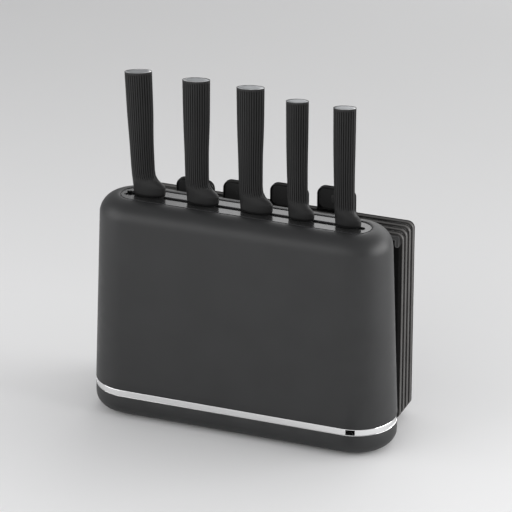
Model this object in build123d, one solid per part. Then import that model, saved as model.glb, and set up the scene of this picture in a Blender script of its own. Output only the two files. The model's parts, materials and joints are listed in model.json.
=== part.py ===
from build123d import *
import os

# Knife block with five knives in one long slot and four index chopping boards in a rear rack.
# Millimetres, +Z up, +X to the right and -Y towards the user. Everything is laid out about the
# block's own centre line and moved at the end, so that the origin is the middle of the footprint.

# Knives: the row sets the block's length, and the longest blade sets its height.
LONG_BLADE = 200.0  # bread, chef and carving blades, below the handle
UTILITY_BLADE = 130.0
PARING_BLADE = 90.0
BREAD_WIDTH = 32.0
CHEF_WIDTH = 43.0
CARVING_WIDTH = 29.0
UTILITY_WIDTH = 25.0
PARING_WIDTH = 21.5
BLADE_THICKNESS = 2.0
WIDE_PITCH = 56.0  # from one handle to the next after a wide blade
NARROW_PITCH = 48.0
ROW_LEFT_MARGIN = 51.0  # block's end to the first handle's centre
ROW_RIGHT_MARGIN = 56.0
BREAD_LEAN = 2.0  # degrees, the leftmost knife leans out of the row
TANG_WIDTH = 10.0
TANG_OFFSET = 1.0  # the tang's centre, towards the spine
TANG_SHARE = 0.78  # how far up the handle the tang reaches

# Blade curves, as shares of the blade's length and width
SPINE_STRAIGHT = 0.7
SPINE_BEND = 0.88
EDGE_BEND = 0.86
EDGE_DRAW = 0.08
HEEL_BEND = 0.9

# Handles: each row is (height, reach to the spine side, reach to the edge side). Neck rows give
# the height in mm, and grip rows as a share of the handle's length.
LARGE_HANDLE_LENGTH = 128.0
SMALL_HANDLE_LENGTH = 121.0
LARGE_NECK = [
    (0.0, 10.4, 22.3),
    (4.0, 10.6, 22.8),
    (9.0, 10.9, 22.8),
    (11.5, 11.1, 21.0),
    (14.0, 11.3, 17.9),
    (17.5, 11.5, 14.6),
    (22.0, 11.8, 12.9),
    (29.0, 12.1, 12.4),
]
SMALL_NECK = [
    (0.0, 8.5, 17.5),
    (3.0, 8.6, 17.9),
    (7.2, 8.8, 17.7),
    (9.2, 8.9, 16.2),
    (11.2, 9.0, 14.2),
    (14.0, 9.2, 12.4),
    (18.0, 9.3, 11.3),
    (29.0, 9.6, 10.9),
]
LARGE_GRIP = [(0.4, 12.6, 12.5), (0.7, 13.8, 13.8), (1.0, 14.3, 14.3)]
SMALL_GRIP = [(0.4, 10.4, 10.8), (0.7, 11.2, 11.2), (1.0, 11.5, 11.5)]
LARGE_HANDLE_THICKNESS = 13.4
SMALL_HANDLE_THICKNESS = 12.0
SPINE_INSET = 1.2  # handle's side to the blade's spine
GUARD_OVERHANG = 2.0  # guard's tip past the blade's root
NECK_HEIGHT = 12.0  # smooth neck below the grip sleeve
SLEEVE_WALL = 2.4
CAP_LIP = 0.3  # rim of the sleeve round the end cap
CAP_THICKNESS = 2.2
CAP_RECESS = 0.05
CAP_SLOPE = 5.0  # degrees, the handle's end rises towards the edge side
CAP_SPARE = 3.0  # how far solids run past the sloping end before they are cut
OVERMOULD_GAP = 0.08  # between a handle's moulded pieces

# Block shell
BLOCK_DEPTH = 82.0  # front to back, at the trim band
END_TAPER = 7.5  # how far each end draws in by the top
FACE_TAPER = 5.4  # how far the front and back draw in by the top
SHOULDER_RADIUS = 18.8
SHELL_WALL = 2.2
TOP_WALL = 4.4
TOP_LIP = 1.2  # flat between the shoulder and the top plate

# Base and trim band
FOOT_HEIGHT = 2.0  # gap under the base
FOOT_RADIUS = 8.0
FOOT_RECESS = 0.8
FOOT_END_INSET = 39.5  # foot's centre from the block's end
FOOT_REACH = 16.0  # foot's centre from the block's centre line
BASE_FLOOR = 4.0
BASE_TOP = 24.2
BASE_WALL = 4.6
BASE_EDGE_RADIUS = 13.0
BAND_HEIGHT = 7.3
BAND_INSET = 0.25  # band's face behind the shell's face
SPIGOT_INSET = 2.6  # spigot's face behind the shell's face
SPIGOT_HEIGHT = 5.5  # above the band
TIP_PAD_HEIGHT = 7.0
TIP_CLEARANCE = 15.0  # longest blade's tip to the pad

# Top plate, slot and blade guides
PLATE_GAP = 0.25
PLATE_THICKNESS = 2.0
PLATE_SINK = 0.8  # underside of the plate below the shell's top wall
PLATE_LEDGE = 3.4
SLOT_WIDTH = 4.6
SLOT_LEFT_MARGIN = 4.6  # plate's end to the slot
SLOT_RIGHT_MARGIN = 6.6
GUIDE_GAP = 9.0  # between the two guide panels
GUIDE_WALL = 2.2
GUIDE_FLANGE = 3.2
GUIDE_FLANGE_REACH = 14.0  # from the slot's centre line
GUIDE_RIB_DEPTH = 6.0
GUIDE_RIB_THICKNESS = 2.0
GUIDE_RIB_PITCH = 50.0
LINER_HEIGHT = 3.0
LINER_WEB = 1.0
LINER_TOOTH_PITCH = 4.0
LINER_TOOTH_WIDTH = 2.2
LINER_TIP_GAP = 4.4  # clear width between the two liners' teeth

# Toothed mouth at the slot's left end: each corner is (from the slot's left end, from its centre line)
MOUTH_REAR = [(0.0, 3.2), (0.9, 4.3), (2.4, 3.4), (3.6, 5.0), (5.2, 3.9), (6.8, 6.0), (9.6, 6.0), (11.0, 3.6)]
MOUTH_FRONT = [(9.0, -2.6), (7.2, -4.0), (5.4, -5.0), (3.8, -3.6), (2.4, -4.6), (0.0, -3.6), (1.5, 0.0)]

# Screws: one shank for all, heads by where they sit.
SCREW_RADIUS = 1.25
SCREW_CLEARANCE = 0.05
SCREW_HEAD_RADIUS = 2.6
SCREW_HEAD_HEIGHT = 1.7
GUIDE_SCREW_REACH = 9.8  # screw axis from the slot's centre line
BASE_SCREW_REACH = 12.0
BOSS_RADIUS = 3.6
SCREW_PITCH = 100.0  # along the block
SCREW_GRIP = 4.0  # thread in the top plate
BASE_SCREW_GRIP = 9.0

# Chopping boards
BOARD_LENGTH = 295.0
BOARD_HEIGHT = 200.0
BOARD_THICKNESS = 6.0
BOARD_PITCH = 10.0
BOARD_CORNER = 7.0
BOARD_EDGE = 0.8
BOARD_COUNT = 4
TAB_WIDTH = 39.6
TAB_HEIGHT = 24.2
TAB_CORNER = 8.5
FIRST_TAB_LEFT = -90.6
TAB_PITCH = 45.8
TAB_BORDER = 2.0
LABEL_DEPTH = 1.0
LABEL_GAP = 0.1
GRIP_INSET_SIDE = 4.0
GRIP_INSET_END = 3.0
GRIP_WIDTH = 4.6
GRIP_UPRIGHT = 12.0
GRIP_LEVEL = 16.0
GRIP_PROUD = 0.35

# Board rack
RACK_LENGTH = 254.0
RACK_GAP = 0.1  # between the block's back and the rack
RACK_FRONT_WALL = 2.5
RACK_FRONT_TOP = 24.0
RACK_REAR_WALL = 3.5
RACK_REAR_TOP = 52.0
RACK_UNDERSIDE = 3.6
RACK_FLOOR_TOP = 7.6
RACK_CORNER = 10.0
BOARD_PLAY = 0.4  # each side of a board in its channel
DIVIDER_TOP = 47.0
DIVIDER_TONGUE = 1.6
DIVIDER_PLAY = 0.05
RACK_SCREW_HEIGHT = 19.0
RACK_SCREW_PITCH = 60.0
RACK_SCREW_GRIP = 8.0
RACK_BOSS_LENGTH = 5.0
RACK_FOOT_PAD = 3.0  # pad round each rack foot
RACK_FOOT_END_INSET = 27.0
RACK_FOOT_EDGE_INSET = 1.0  # from the pad to the rack's back
RACK_SCREW_COUNT = 4

REST_GAP = 0.2  # under a lifted-off piece where it rests
TOUCH_GAP = 0.1  # between fixed pieces that stand close

# Worked out from the sizes above
ROW_PITCHES = [WIDE_PITCH, WIDE_PITCH, NARROW_PITCH, NARROW_PITCH]
BLOCK_LENGTH = ROW_LEFT_MARGIN + sum(ROW_PITCHES) + ROW_RIGHT_MARGIN
FLOOR_TOP = FOOT_HEIGHT + BASE_FLOOR
PAD_TOP = FLOOR_TOP + TIP_PAD_HEIGHT
BLOCK_HEIGHT = PAD_TOP + TIP_CLEARANCE + LONG_BLADE
HANDLE_BOTTOM = BLOCK_HEIGHT + REST_GAP
SHELL_BOTTOM = BASE_TOP + BAND_HEIGHT
HALF_LENGTH = BLOCK_LENGTH / 2
HALF_DEPTH = BLOCK_DEPTH / 2
PLATE_HALF_LENGTH = HALF_LENGTH - END_TAPER - SHOULDER_RADIUS - TOP_LIP
PLATE_HALF_DEPTH = HALF_DEPTH - FACE_TAPER - SHOULDER_RADIUS - TOP_LIP
LOWER_HALF_LENGTH = PLATE_HALF_LENGTH - PLATE_LEDGE
LOWER_HALF_DEPTH = PLATE_HALF_DEPTH - PLATE_LEDGE
PLATE_BOTTOM = BLOCK_HEIGHT - TOP_WALL - PLATE_SINK
SLOT_LEFT = -PLATE_HALF_LENGTH + SLOT_LEFT_MARGIN
SLOT_RIGHT = PLATE_HALF_LENGTH - SLOT_RIGHT_MARGIN
GUIDE_FACE = GUIDE_GAP / 2
GUIDE_HALF_LENGTH = PLATE_HALF_LENGTH - SLOT_LEFT_MARGIN + GUIDE_WALL
FIRST_BOARD = HALF_DEPTH + RACK_GAP + RACK_FRONT_WALL + BOARD_PLAY
BOARD_BOTTOM = RACK_FLOOR_TOP + REST_GAP
LAST_BOARD_BACK = FIRST_BOARD + (BOARD_COUNT - 1) * BOARD_PITCH + BOARD_THICKNESS
RACK_BACK = LAST_BOARD_BACK + BOARD_PLAY + RACK_REAR_WALL
FRAME_SHIFT = (HALF_DEPTH - RACK_BACK) / 2
DIVIDER_THICKNESS = BOARD_PITCH - BOARD_THICKNESS - 2 * BOARD_PLAY
FOOT_X = HALF_LENGTH - FOOT_END_INSET
FOOT_SPOTS = [(x, y) for x in (-FOOT_X, FOOT_X) for y in (-FOOT_REACH, FOOT_REACH)]
RACK_FOOT_X = RACK_LENGTH / 2 - RACK_FOOT_END_INSET
RACK_FOOT_Y = RACK_BACK - RACK_FOOT_EDGE_INSET - RACK_FOOT_PAD - FOOT_RADIUS
RACK_FOOT_SPOTS = [(-RACK_FOOT_X, RACK_FOOT_Y), (RACK_FOOT_X, RACK_FOOT_Y)]
CUT_REACH = 400.0  # more than any piece's size, for cutting
SCREW_SPOTS = (-SCREW_PITCH, 0.0, SCREW_PITCH)

os.makedirs("parts", exist_ok=True)


def save(name, *solids):
    """Writes one node, moved so that the footprint is centred on the origin."""
    moved = [Pos(0, FRAME_SHIFT, 0) * s for s in solids]
    shape = moved[0] if len(moved) == 1 else Compound(children=moved)
    export_step(shape, f"parts/{name}.step")


def stadium(half_length, half_depth, low, high):
    """Upright stadium prism about the Z axis."""
    outline = SlotOverall(2 * half_length, 2 * half_depth)
    return Pos(0, 0, low) * extrude(outline, amount=high - low)


def bar(x, y, z):
    """Box between two corners, each axis given as (low, high)."""
    box = Box(x[1] - x[0], y[1] - y[0], z[1] - z[0])
    return Pos((x[0] + x[1]) / 2, (y[0] + y[1]) / 2, (z[0] + z[1]) / 2) * box


def post(radius, x, y, low, high):
    """Upright round bar."""
    return Pos(x, y, (low + high) / 2) * Cylinder(radius, high - low)


def peg(radius, x, z, front, back):
    """Round bar along Y."""
    return Pos(x, (front + back) / 2, z) * Rot(90, 0, 0) * Cylinder(radius, back - front)


# ---- Block ----

def tapered_body(inset, low, high):
    """The block's outer form drawn in by inset, with its rounded shoulder."""
    sections = []
    for z in (low, high):
        rise = (z - SHELL_BOTTOM) / (BLOCK_HEIGHT - SHELL_BOTTOM)
        half_length = HALF_LENGTH - END_TAPER * rise - inset
        half_depth = HALF_DEPTH - FACE_TAPER * rise - inset
        sections.append(Pos(0, 0, z) * SlotOverall(2 * half_length, 2 * half_depth))
    body = loft(sections, ruled=True)
    top_edges = body.edges().group_by(Axis.Z)[-1]
    return fillet(top_edges, SHOULDER_RADIUS - inset)


def block_shell():
    """Outer shell: open below, with a stepped opening in its top for the plate."""
    shell = tapered_body(0, SHELL_BOTTOM, BLOCK_HEIGHT)
    shell -= tapered_body(SHELL_WALL, SHELL_BOTTOM - 1, BLOCK_HEIGHT - TOP_WALL)
    ledge = BLOCK_HEIGHT - PLATE_THICKNESS
    shell -= stadium(PLATE_HALF_LENGTH, PLATE_HALF_DEPTH, ledge, BLOCK_HEIGHT + 1)
    shell -= stadium(LOWER_HALF_LENGTH, LOWER_HALF_DEPTH, BLOCK_HEIGHT - TOP_WALL - 5, ledge + 1)
    return shell


def trim_band():
    """Bright band clamped between the base and the shell."""
    outer = stadium(HALF_LENGTH - BAND_INSET, HALF_DEPTH - BAND_INSET, BASE_TOP, SHELL_BOTTOM)
    hole = SPIGOT_INSET - TOUCH_GAP
    inner = stadium(HALF_LENGTH - hole, HALF_DEPTH - hole, BASE_TOP - 1, SHELL_BOTTOM + 1)
    return outer - inner


def base_shell():
    """Heavy lower tray with a spigot that locates the band and the shell."""
    tray = stadium(HALF_LENGTH, HALF_DEPTH, FOOT_HEIGHT, BASE_TOP)
    tray = fillet(tray.edges().group_by(Axis.Z)[0], BASE_EDGE_RADIUS)
    spigot_top = SHELL_BOTTOM + SPIGOT_HEIGHT
    tray += stadium(HALF_LENGTH - SPIGOT_INSET, HALF_DEPTH - SPIGOT_INSET, BASE_TOP - 1, spigot_top)
    inside = stadium(HALF_LENGTH - BASE_WALL, HALF_DEPTH - BASE_WALL, FLOOR_TOP, spigot_top + 1)
    inside = fillet(inside.edges().group_by(Axis.Z)[0], BASE_EDGE_RADIUS - BASE_WALL)
    tray -= inside
    for x, y in FOOT_SPOTS:
        tray -= post(FOOT_RADIUS, x, y, FOOT_HEIGHT - 1, FOOT_HEIGHT + FOOT_RECESS)
    for x in SCREW_SPOTS:
        for y in (-BASE_SCREW_REACH, BASE_SCREW_REACH):
            tray -= post(SCREW_RADIUS + SCREW_CLEARANCE, x, y, FOOT_HEIGHT - 1, FLOOR_TOP + 1)
            head_room = FOOT_HEIGHT + SCREW_HEAD_HEIGHT + 2 * TOUCH_GAP
            tray -= post(SCREW_HEAD_RADIUS + TOUCH_GAP, x, y, FOOT_HEIGHT - 1, head_room)
    wall_inside = HALF_DEPTH - BASE_WALL
    for x in rack_screw_places():
        tray += peg(BOSS_RADIUS, x, RACK_SCREW_HEIGHT, wall_inside - RACK_BOSS_LENGTH, wall_inside + 1)
        deepest = HALF_DEPTH - RACK_SCREW_GRIP - 2 * TOUCH_GAP
        tray -= peg(SCREW_RADIUS + SCREW_CLEARANCE, x, RACK_SCREW_HEIGHT, deepest, HALF_DEPTH + 1)
    return tray


def feet():
    """Soft feet under the base and under the rack's rear edge."""
    top = FOOT_HEIGHT + FOOT_RECESS
    return [post(FOOT_RADIUS - TOUCH_GAP, x, y, 0, top) for x, y in FOOT_SPOTS + RACK_FOOT_SPOTS]


def slot_cut(low, high):
    """The knife slot with its toothed mouth, as the solid it removes."""
    start = SLOT_LEFT + MOUTH_FRONT[-1][0]
    length = SLOT_RIGHT - start
    outline = Pos(start + length / 2, 0) * SlotOverall(length, SLOT_WIDTH)
    corners = [(SLOT_LEFT + x, y) for x, y in MOUTH_REAR + MOUTH_FRONT]
    outline += make_face(Polyline(*corners, close=True))
    return Pos(0, 0, low) * extrude(outline, amount=high - low)


def top_plate():
    """Flush plate that the handles stand on, with the long slot through it."""
    ledge = BLOCK_HEIGHT - PLATE_THICKNESS
    plate = stadium(PLATE_HALF_LENGTH - PLATE_GAP, PLATE_HALF_DEPTH - PLATE_GAP, ledge, BLOCK_HEIGHT)
    lower_length = LOWER_HALF_LENGTH - PLATE_GAP
    plate += stadium(lower_length, LOWER_HALF_DEPTH - PLATE_GAP, PLATE_BOTTOM, ledge)
    plate -= slot_cut(PLATE_BOTTOM - 1, BLOCK_HEIGHT + 1)
    for x in SCREW_SPOTS:
        for y in (-GUIDE_SCREW_REACH, GUIDE_SCREW_REACH):
            hole_top = PLATE_BOTTOM + SCREW_GRIP + TOUCH_GAP
            plate -= post(SCREW_RADIUS + SCREW_CLEARANCE, x, y, PLATE_BOTTOM - 1, hole_top)
    return plate


def guide_panel(side):
    """Upright panel beside the blades: flange under the plate, outer ribs and screw bosses."""
    outer_face = GUIDE_FACE + GUIDE_WALL
    span = (-GUIDE_HALF_LENGTH, GUIDE_HALF_LENGTH)
    flange_low = PLATE_BOTTOM - GUIDE_FLANGE
    panel = bar(span, (GUIDE_FACE, outer_face), (FLOOR_TOP, PLATE_BOTTOM))
    flange_span = (-LOWER_HALF_LENGTH, LOWER_HALF_LENGTH)
    panel += bar(flange_span, (outer_face, GUIDE_FLANGE_REACH), (flange_low, PLATE_BOTTOM))
    rib_count = int((GUIDE_HALF_LENGTH - GUIDE_RIB_THICKNESS) / GUIDE_RIB_PITCH + 0.5)
    for step in range(-rib_count, rib_count):
        x = (step + 0.5) * GUIDE_RIB_PITCH
        rib = (x - GUIDE_RIB_THICKNESS / 2, x + GUIDE_RIB_THICKNESS / 2)
        panel += bar(rib, (outer_face, outer_face + GUIDE_RIB_DEPTH), (FLOOR_TOP, flange_low))
    boss_top = FLOOR_TOP + BASE_SCREW_GRIP + 2 * TOUCH_GAP
    for x in SCREW_SPOTS:
        panel += post(BOSS_RADIUS, x, BASE_SCREW_REACH, FLOOR_TOP, boss_top + 1)
        web = (x - GUIDE_RIB_THICKNESS / 2, x + GUIDE_RIB_THICKNESS / 2)
        panel += bar(web, (outer_face, BASE_SCREW_REACH), (FLOOR_TOP, boss_top + 1))
        panel -= post(SCREW_RADIUS + SCREW_CLEARANCE, x, BASE_SCREW_REACH, FLOOR_TOP - 1, boss_top)
        through = (flange_low - 1, PLATE_BOTTOM + 1)
        panel -= post(SCREW_RADIUS + SCREW_CLEARANCE, x, GUIDE_SCREW_REACH, *through)
    return panel if side > 0 else mirror(panel, about=Plane.XZ)


def guide_end_strips():
    """Strips that close the two ends of the blade channel."""
    inner = GUIDE_HALF_LENGTH - GUIDE_WALL
    half_width = GUIDE_FACE - TOUCH_GAP
    rise = (FLOOR_TOP, PLATE_BOTTOM - TOUCH_GAP)
    right = bar((inner, GUIDE_HALF_LENGTH), (-half_width, half_width), rise)
    return [right, mirror(right, about=Plane.YZ)]


def slot_liner(side):
    """Soft comb strip under one edge of the slot."""
    span = GUIDE_HALF_LENGTH - GUIDE_WALL - TOUCH_GAP
    outer = GUIDE_FACE - TOUCH_GAP
    level = (PLATE_BOTTOM - TOUCH_GAP - LINER_HEIGHT, PLATE_BOTTOM - TOUCH_GAP)
    strip = bar((-span, span), (outer - LINER_WEB, outer), level)
    count = int((2 * span - LINER_TOOTH_WIDTH) / LINER_TOOTH_PITCH)
    for step in range(count + 1):
        left = -count * LINER_TOOTH_PITCH / 2 + step * LINER_TOOTH_PITCH - LINER_TOOTH_WIDTH / 2
        tooth = (left, left + LINER_TOOTH_WIDTH)
        strip += bar(tooth, (LINER_TIP_GAP / 2, outer - LINER_WEB), level)
    return strip if side > 0 else mirror(strip, about=Plane.XZ)


def tip_pad():
    """Soft strip on the floor of the blade channel."""
    span = GUIDE_HALF_LENGTH - GUIDE_WALL - TOUCH_GAP
    half_width = GUIDE_FACE - TOUCH_GAP
    return bar((-span, span), (-half_width, half_width), (FLOOR_TOP, PAD_TOP))


def upright_screw(x, y, head_low, tip):
    """Pan-head screw with its head below."""
    shank = post(SCREW_RADIUS, x, y, head_low + SCREW_HEAD_HEIGHT, tip)
    return shank + post(SCREW_HEAD_RADIUS, x, y, head_low, head_low + SCREW_HEAD_HEIGHT)


def guide_screws():
    """Screws from the guide flanges up into the top plate."""
    head_low = PLATE_BOTTOM - GUIDE_FLANGE - SCREW_HEAD_HEIGHT
    tip = PLATE_BOTTOM + SCREW_GRIP
    sides = (-GUIDE_SCREW_REACH, GUIDE_SCREW_REACH)
    return [upright_screw(x, y, head_low, tip) for x in SCREW_SPOTS for y in sides]


def base_screws():
    """Screws from below that hold the guides to the base."""
    head_low = FOOT_HEIGHT + 2 * TOUCH_GAP
    tip = FLOOR_TOP + BASE_SCREW_GRIP
    sides = (-BASE_SCREW_REACH, BASE_SCREW_REACH)
    return [upright_screw(x, y, head_low, tip) for x in SCREW_SPOTS for y in sides]


# ---- Board rack ----

def rack_screw_places():
    """Places of the rack's screws along the block."""
    middle = (RACK_SCREW_COUNT - 1) / 2
    return [(step - middle) * RACK_SCREW_PITCH for step in range(RACK_SCREW_COUNT)]


def rounded_wall(front, back, low, high):
    """Upright wall along X with its two top corners rounded."""
    wall = bar((-RACK_LENGTH / 2, RACK_LENGTH / 2), (front, back), (low, high))
    corners = wall.edges().filter_by(Axis.Y).group_by(Axis.Z)[-1]
    return fillet(corners, RACK_CORNER)


def channel_gaps():
    """Front faces of the dividers between neighbouring boards."""
    first = FIRST_BOARD + BOARD_THICKNESS + BOARD_PLAY
    return [first + step * BOARD_PITCH for step in range(BOARD_COUNT - 1)]


def rack_tray():
    """Floor, front wall and tall rear wall of the rack, grooved for its dividers."""
    front = HALF_DEPTH + RACK_GAP
    span = (-RACK_LENGTH / 2, RACK_LENGTH / 2)
    tray = bar(span, (front, RACK_BACK), (RACK_UNDERSIDE, RACK_FLOOR_TOP))
    tray += bar(span, (front, front + RACK_FRONT_WALL), (RACK_UNDERSIDE, RACK_FRONT_TOP))
    tray += rounded_wall(RACK_BACK - RACK_REAR_WALL, RACK_BACK, RACK_UNDERSIDE, RACK_REAR_TOP)
    for y in channel_gaps():
        groove = (y - DIVIDER_PLAY, y + DIVIDER_THICKNESS + DIVIDER_PLAY)
        tray -= bar((span[0] - 1, span[1] + 1), groove, (RACK_FLOOR_TOP - DIVIDER_TONGUE, RACK_FLOOR_TOP + 1))
    for x, y in RACK_FOOT_SPOTS:
        tray += post(FOOT_RADIUS + RACK_FOOT_PAD, x, y, FOOT_HEIGHT, RACK_UNDERSIDE)
        tray -= post(FOOT_RADIUS, x, y, FOOT_HEIGHT - 1, FOOT_HEIGHT + FOOT_RECESS)
    head_seat = front + RACK_FRONT_WALL - SCREW_HEAD_HEIGHT - TOUCH_GAP
    for x in rack_screw_places():
        tray -= peg(SCREW_RADIUS + SCREW_CLEARANCE, x, RACK_SCREW_HEIGHT, front - 1, head_seat + 1)
        tray -= peg(SCREW_HEAD_RADIUS + TOUCH_GAP, x, RACK_SCREW_HEIGHT, head_seat, front + RACK_FRONT_WALL + 1)
    return tray


def rack_dividers():
    """Upright fins that stand in the tray between the boards."""
    low = RACK_FLOOR_TOP - DIVIDER_TONGUE
    return [rounded_wall(y, y + DIVIDER_THICKNESS, low, DIVIDER_TOP) for y in channel_gaps()]


def rack_screws():
    """Screws through the rack's front wall into the base's rear wall."""
    head_front = HALF_DEPTH + RACK_GAP + RACK_FRONT_WALL - SCREW_HEAD_HEIGHT - TOUCH_GAP
    screws = []
    for x in rack_screw_places():
        shank = peg(SCREW_RADIUS, x, RACK_SCREW_HEIGHT, HALF_DEPTH - RACK_SCREW_GRIP, head_front)
        head = peg(SCREW_HEAD_RADIUS, x, RACK_SCREW_HEIGHT, head_front, head_front + SCREW_HEAD_HEIGHT)
        screws.append(shank + head)
    return screws


# ---- Chopping boards ----

def tab_outline(left, inset):
    """Index tab: straight sides that run down into the board and a rounded top."""
    low = BOARD_BOTTOM + BOARD_HEIGHT
    width = TAB_WIDTH - 2 * inset
    height = TAB_HEIGHT - 2 * inset
    radius = TAB_CORNER - inset
    middle = left + TAB_WIDTH / 2
    return Pos(middle, low + TAB_HEIGHT / 2) * RectangleRounded(width, height, radius)


def board_panel(index):
    """Board with its tab, softened edges, a label recess and four corner pad openings."""
    left = FIRST_TAB_LEFT + index * TAB_PITCH
    middle = BOARD_BOTTOM + BOARD_HEIGHT / 2
    outline = Pos(0, middle) * RectangleRounded(BOARD_LENGTH, BOARD_HEIGHT, BOARD_CORNER)
    outline += tab_outline(left, 0)
    stem_height = TAB_HEIGHT / 2
    stem_middle = BOARD_BOTTOM + BOARD_HEIGHT
    outline += Pos(left + TAB_WIDTH / 2, stem_middle) * Rectangle(TAB_WIDTH, stem_height * 2)
    panel = Plane.XZ * extrude(outline, amount=-BOARD_THICKNESS)
    rims = panel.faces().sort_by(Axis.Y)
    panel = chamfer(rims[0].edges() + rims[-1].edges(), BOARD_EDGE)
    panel -= Plane.XZ * extrude(tab_outline(left, TAB_BORDER), amount=-LABEL_DEPTH)
    for pad in corner_pads(0, BOARD_THICKNESS):
        panel -= pad
    return Pos(0, board_front(index), 0) * panel


def tab_label(index):
    """Thin plate let into the front of the tab."""
    left = FIRST_TAB_LEFT + index * TAB_PITCH
    outline = tab_outline(left, TAB_BORDER + LABEL_GAP)
    plate = Plane.XZ * extrude(outline, amount=-(LABEL_DEPTH - 2 * LABEL_GAP))
    return Pos(0, board_front(index) + 2 * LABEL_GAP, 0) * plate


def corner_pads(front, back):
    """Four L-shaped pads near the board's corners, between two depths."""
    half_width = GRIP_WIDTH / 2
    x = BOARD_LENGTH / 2 - GRIP_INSET_SIDE
    z = BOARD_HEIGHT / 2 - GRIP_INSET_END
    upright = Pos(x - half_width, z - GRIP_UPRIGHT / 2) * Rot(0, 0, 90) * SlotOverall(GRIP_UPRIGHT, GRIP_WIDTH)
    level = Pos(x - GRIP_LEVEL / 2, z - half_width) * SlotOverall(GRIP_LEVEL, GRIP_WIDTH)
    pad = Pos(0, front, 0) * (Plane.XZ * extrude(upright + level, amount=-(back - front)))
    pads = [pad, mirror(pad, about=Plane.YZ)]
    pads += [mirror(p, about=Plane.XY) for p in pads]
    return [Pos(0, 0, BOARD_BOTTOM + BOARD_HEIGHT / 2) * p for p in pads]


def board_front(index):
    """Front face of one board."""
    return FIRST_BOARD + index * BOARD_PITCH


def board_grips(index):
    """Soft corner pads, moulded through the board and a little proud of both faces."""
    pads = corner_pads(-GRIP_PROUD, BOARD_THICKNESS + GRIP_PROUD)
    return [Pos(0, board_front(index), 0) * p for p in pads]


# ---- Knives, each modelled with its handle's foot at the origin ----

def handle_column(rows, thickness, inset):
    """Oval handle from its guard to its top, drawn in by inset all round."""
    sections = []
    top, top_spine, top_edge = rows[-1]
    for height, spine_reach, edge_reach in rows + [(top + CAP_SPARE, top_spine, top_edge)]:
        half_width = (spine_reach + edge_reach) / 2 - inset
        centre = (edge_reach - spine_reach) / 2
        sections.append(Pos(centre, 0, height) * Ellipse(half_width, thickness / 2 - inset))
    return loft(sections, ruled=True)


def above(height):
    """Large box over a height, for cutting handles."""
    return bar((-CUT_REACH, CUT_REACH), (-CUT_REACH, CUT_REACH), (height, height + CUT_REACH))


def below(height):
    """Large box under a height, for cutting handles."""
    return bar((-CUT_REACH, CUT_REACH), (-CUT_REACH, CUT_REACH), (height - CUT_REACH, height))


def over_slope(height):
    """Large box over a plane that slopes as the handle's end does."""
    return Pos(0, 0, height) * Rot(0, -CAP_SLOPE, 0) * above(0)


def under_slope(height):
    """Large box under a plane that slopes as the handle's end does."""
    return Pos(0, 0, height) * Rot(0, -CAP_SLOPE, 0) * below(0)


def tang_solid(length, gap):
    """Flat tang inside the handle."""
    half_width = TANG_WIDTH / 2 + gap
    half_thickness = BLADE_THICKNESS / 2 + gap
    spread = (-TANG_OFFSET - half_width, -TANG_OFFSET + half_width)
    return bar(spread, (-half_thickness, half_thickness), (0, TANG_SHARE * length + gap))


def handle_core(rows, thickness):
    """Hard moulding: smooth neck and guard below, core inside the sleeve above."""
    length = rows[-1][0]
    neck = handle_column(rows, thickness, 0) & below(NECK_HEIGHT)
    inner = handle_column(rows, thickness, SLEEVE_WALL + OVERMOULD_GAP)
    inner = inner & above(NECK_HEIGHT - SLEEVE_WALL) & under_slope(length - CAP_THICKNESS - CAP_RECESS)
    return neck + inner - tang_solid(length, OVERMOULD_GAP)


def grip_sleeve(rows, thickness):
    """Ribbed soft sleeve over the core, with a rim round the end cap."""
    length = rows[-1][0]
    sleeve = handle_column(rows, thickness, 0) & above(NECK_HEIGHT) & under_slope(length)
    sleeve -= handle_column(rows, thickness, SLEEVE_WALL)
    seat = length - CAP_THICKNESS - CAP_RECESS
    return sleeve - cap_solid(rows, thickness, seat, length + 1, CAP_LIP)


def cap_solid(rows, thickness, low, high, inset):
    """Oval disc at the top of a handle, with sloping faces."""
    spine_reach, edge_reach = rows[-1][1:]
    half_width = (spine_reach + edge_reach) / 2 - inset
    centre = (edge_reach - spine_reach) / 2
    disc = Ellipse(half_width, thickness / 2 - inset)
    column = Pos(centre, 0, low - CAP_SPARE) * extrude(disc, amount=high - low + 2 * CAP_SPARE)
    return column & over_slope(low) & under_slope(high)


def end_cap(rows, thickness):
    """Steel end cap let into the sleeve's rim."""
    length = rows[-1][0]
    seat = length - CAP_THICKNESS - CAP_RECESS
    return cap_solid(rows, thickness, seat, length - CAP_RECESS, CAP_LIP + OVERMOULD_GAP)


def blade(rows, length, width, heel_drop, tip_share, belly_share):
    """Flat blade below the handle, spine towards -X, with its tang above."""
    handle_length = rows[-1][0]
    foot_spine, foot_edge = rows[0][1:]
    spine = SPINE_INSET - foot_spine
    edge = spine + width
    tip_x = spine + tip_share * width
    root = min(foot_edge - GUARD_OVERHANG, edge)
    belly = -length * belly_share
    edges = [
        Line((spine, 0), (spine, -length * SPINE_STRAIGHT)),
        Bezier((spine, -length * SPINE_STRAIGHT), (spine, -length * SPINE_BEND), (tip_x, -length)),
        Bezier((tip_x, -length), (edge - width * EDGE_DRAW, -length * EDGE_BEND), (edge, belly)),
        Line((edge, belly), (edge, -heel_drop)),
        Bezier((edge, -heel_drop), (root, -heel_drop * HEEL_BEND), (root, 0)),
        Line((root, 0), (spine, 0)),
    ]
    profile = make_face(Curve() + edges)
    plate = Plane.XZ * extrude(profile, amount=BLADE_THICKNESS / 2, both=True)
    return plate + tang_solid(handle_length, 0)


def handle_rows(neck, grip, length):
    """One handle's outline rows, all with heights in mm."""
    return neck + [(share * length, spine_reach, edge_reach) for share, spine_reach, edge_reach in grip]


LARGE = (handle_rows(LARGE_NECK, LARGE_GRIP, LARGE_HANDLE_LENGTH), LARGE_HANDLE_THICKNESS)
SMALL = (handle_rows(SMALL_NECK, SMALL_GRIP, SMALL_HANDLE_LENGTH), SMALL_HANDLE_THICKNESS)

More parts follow.
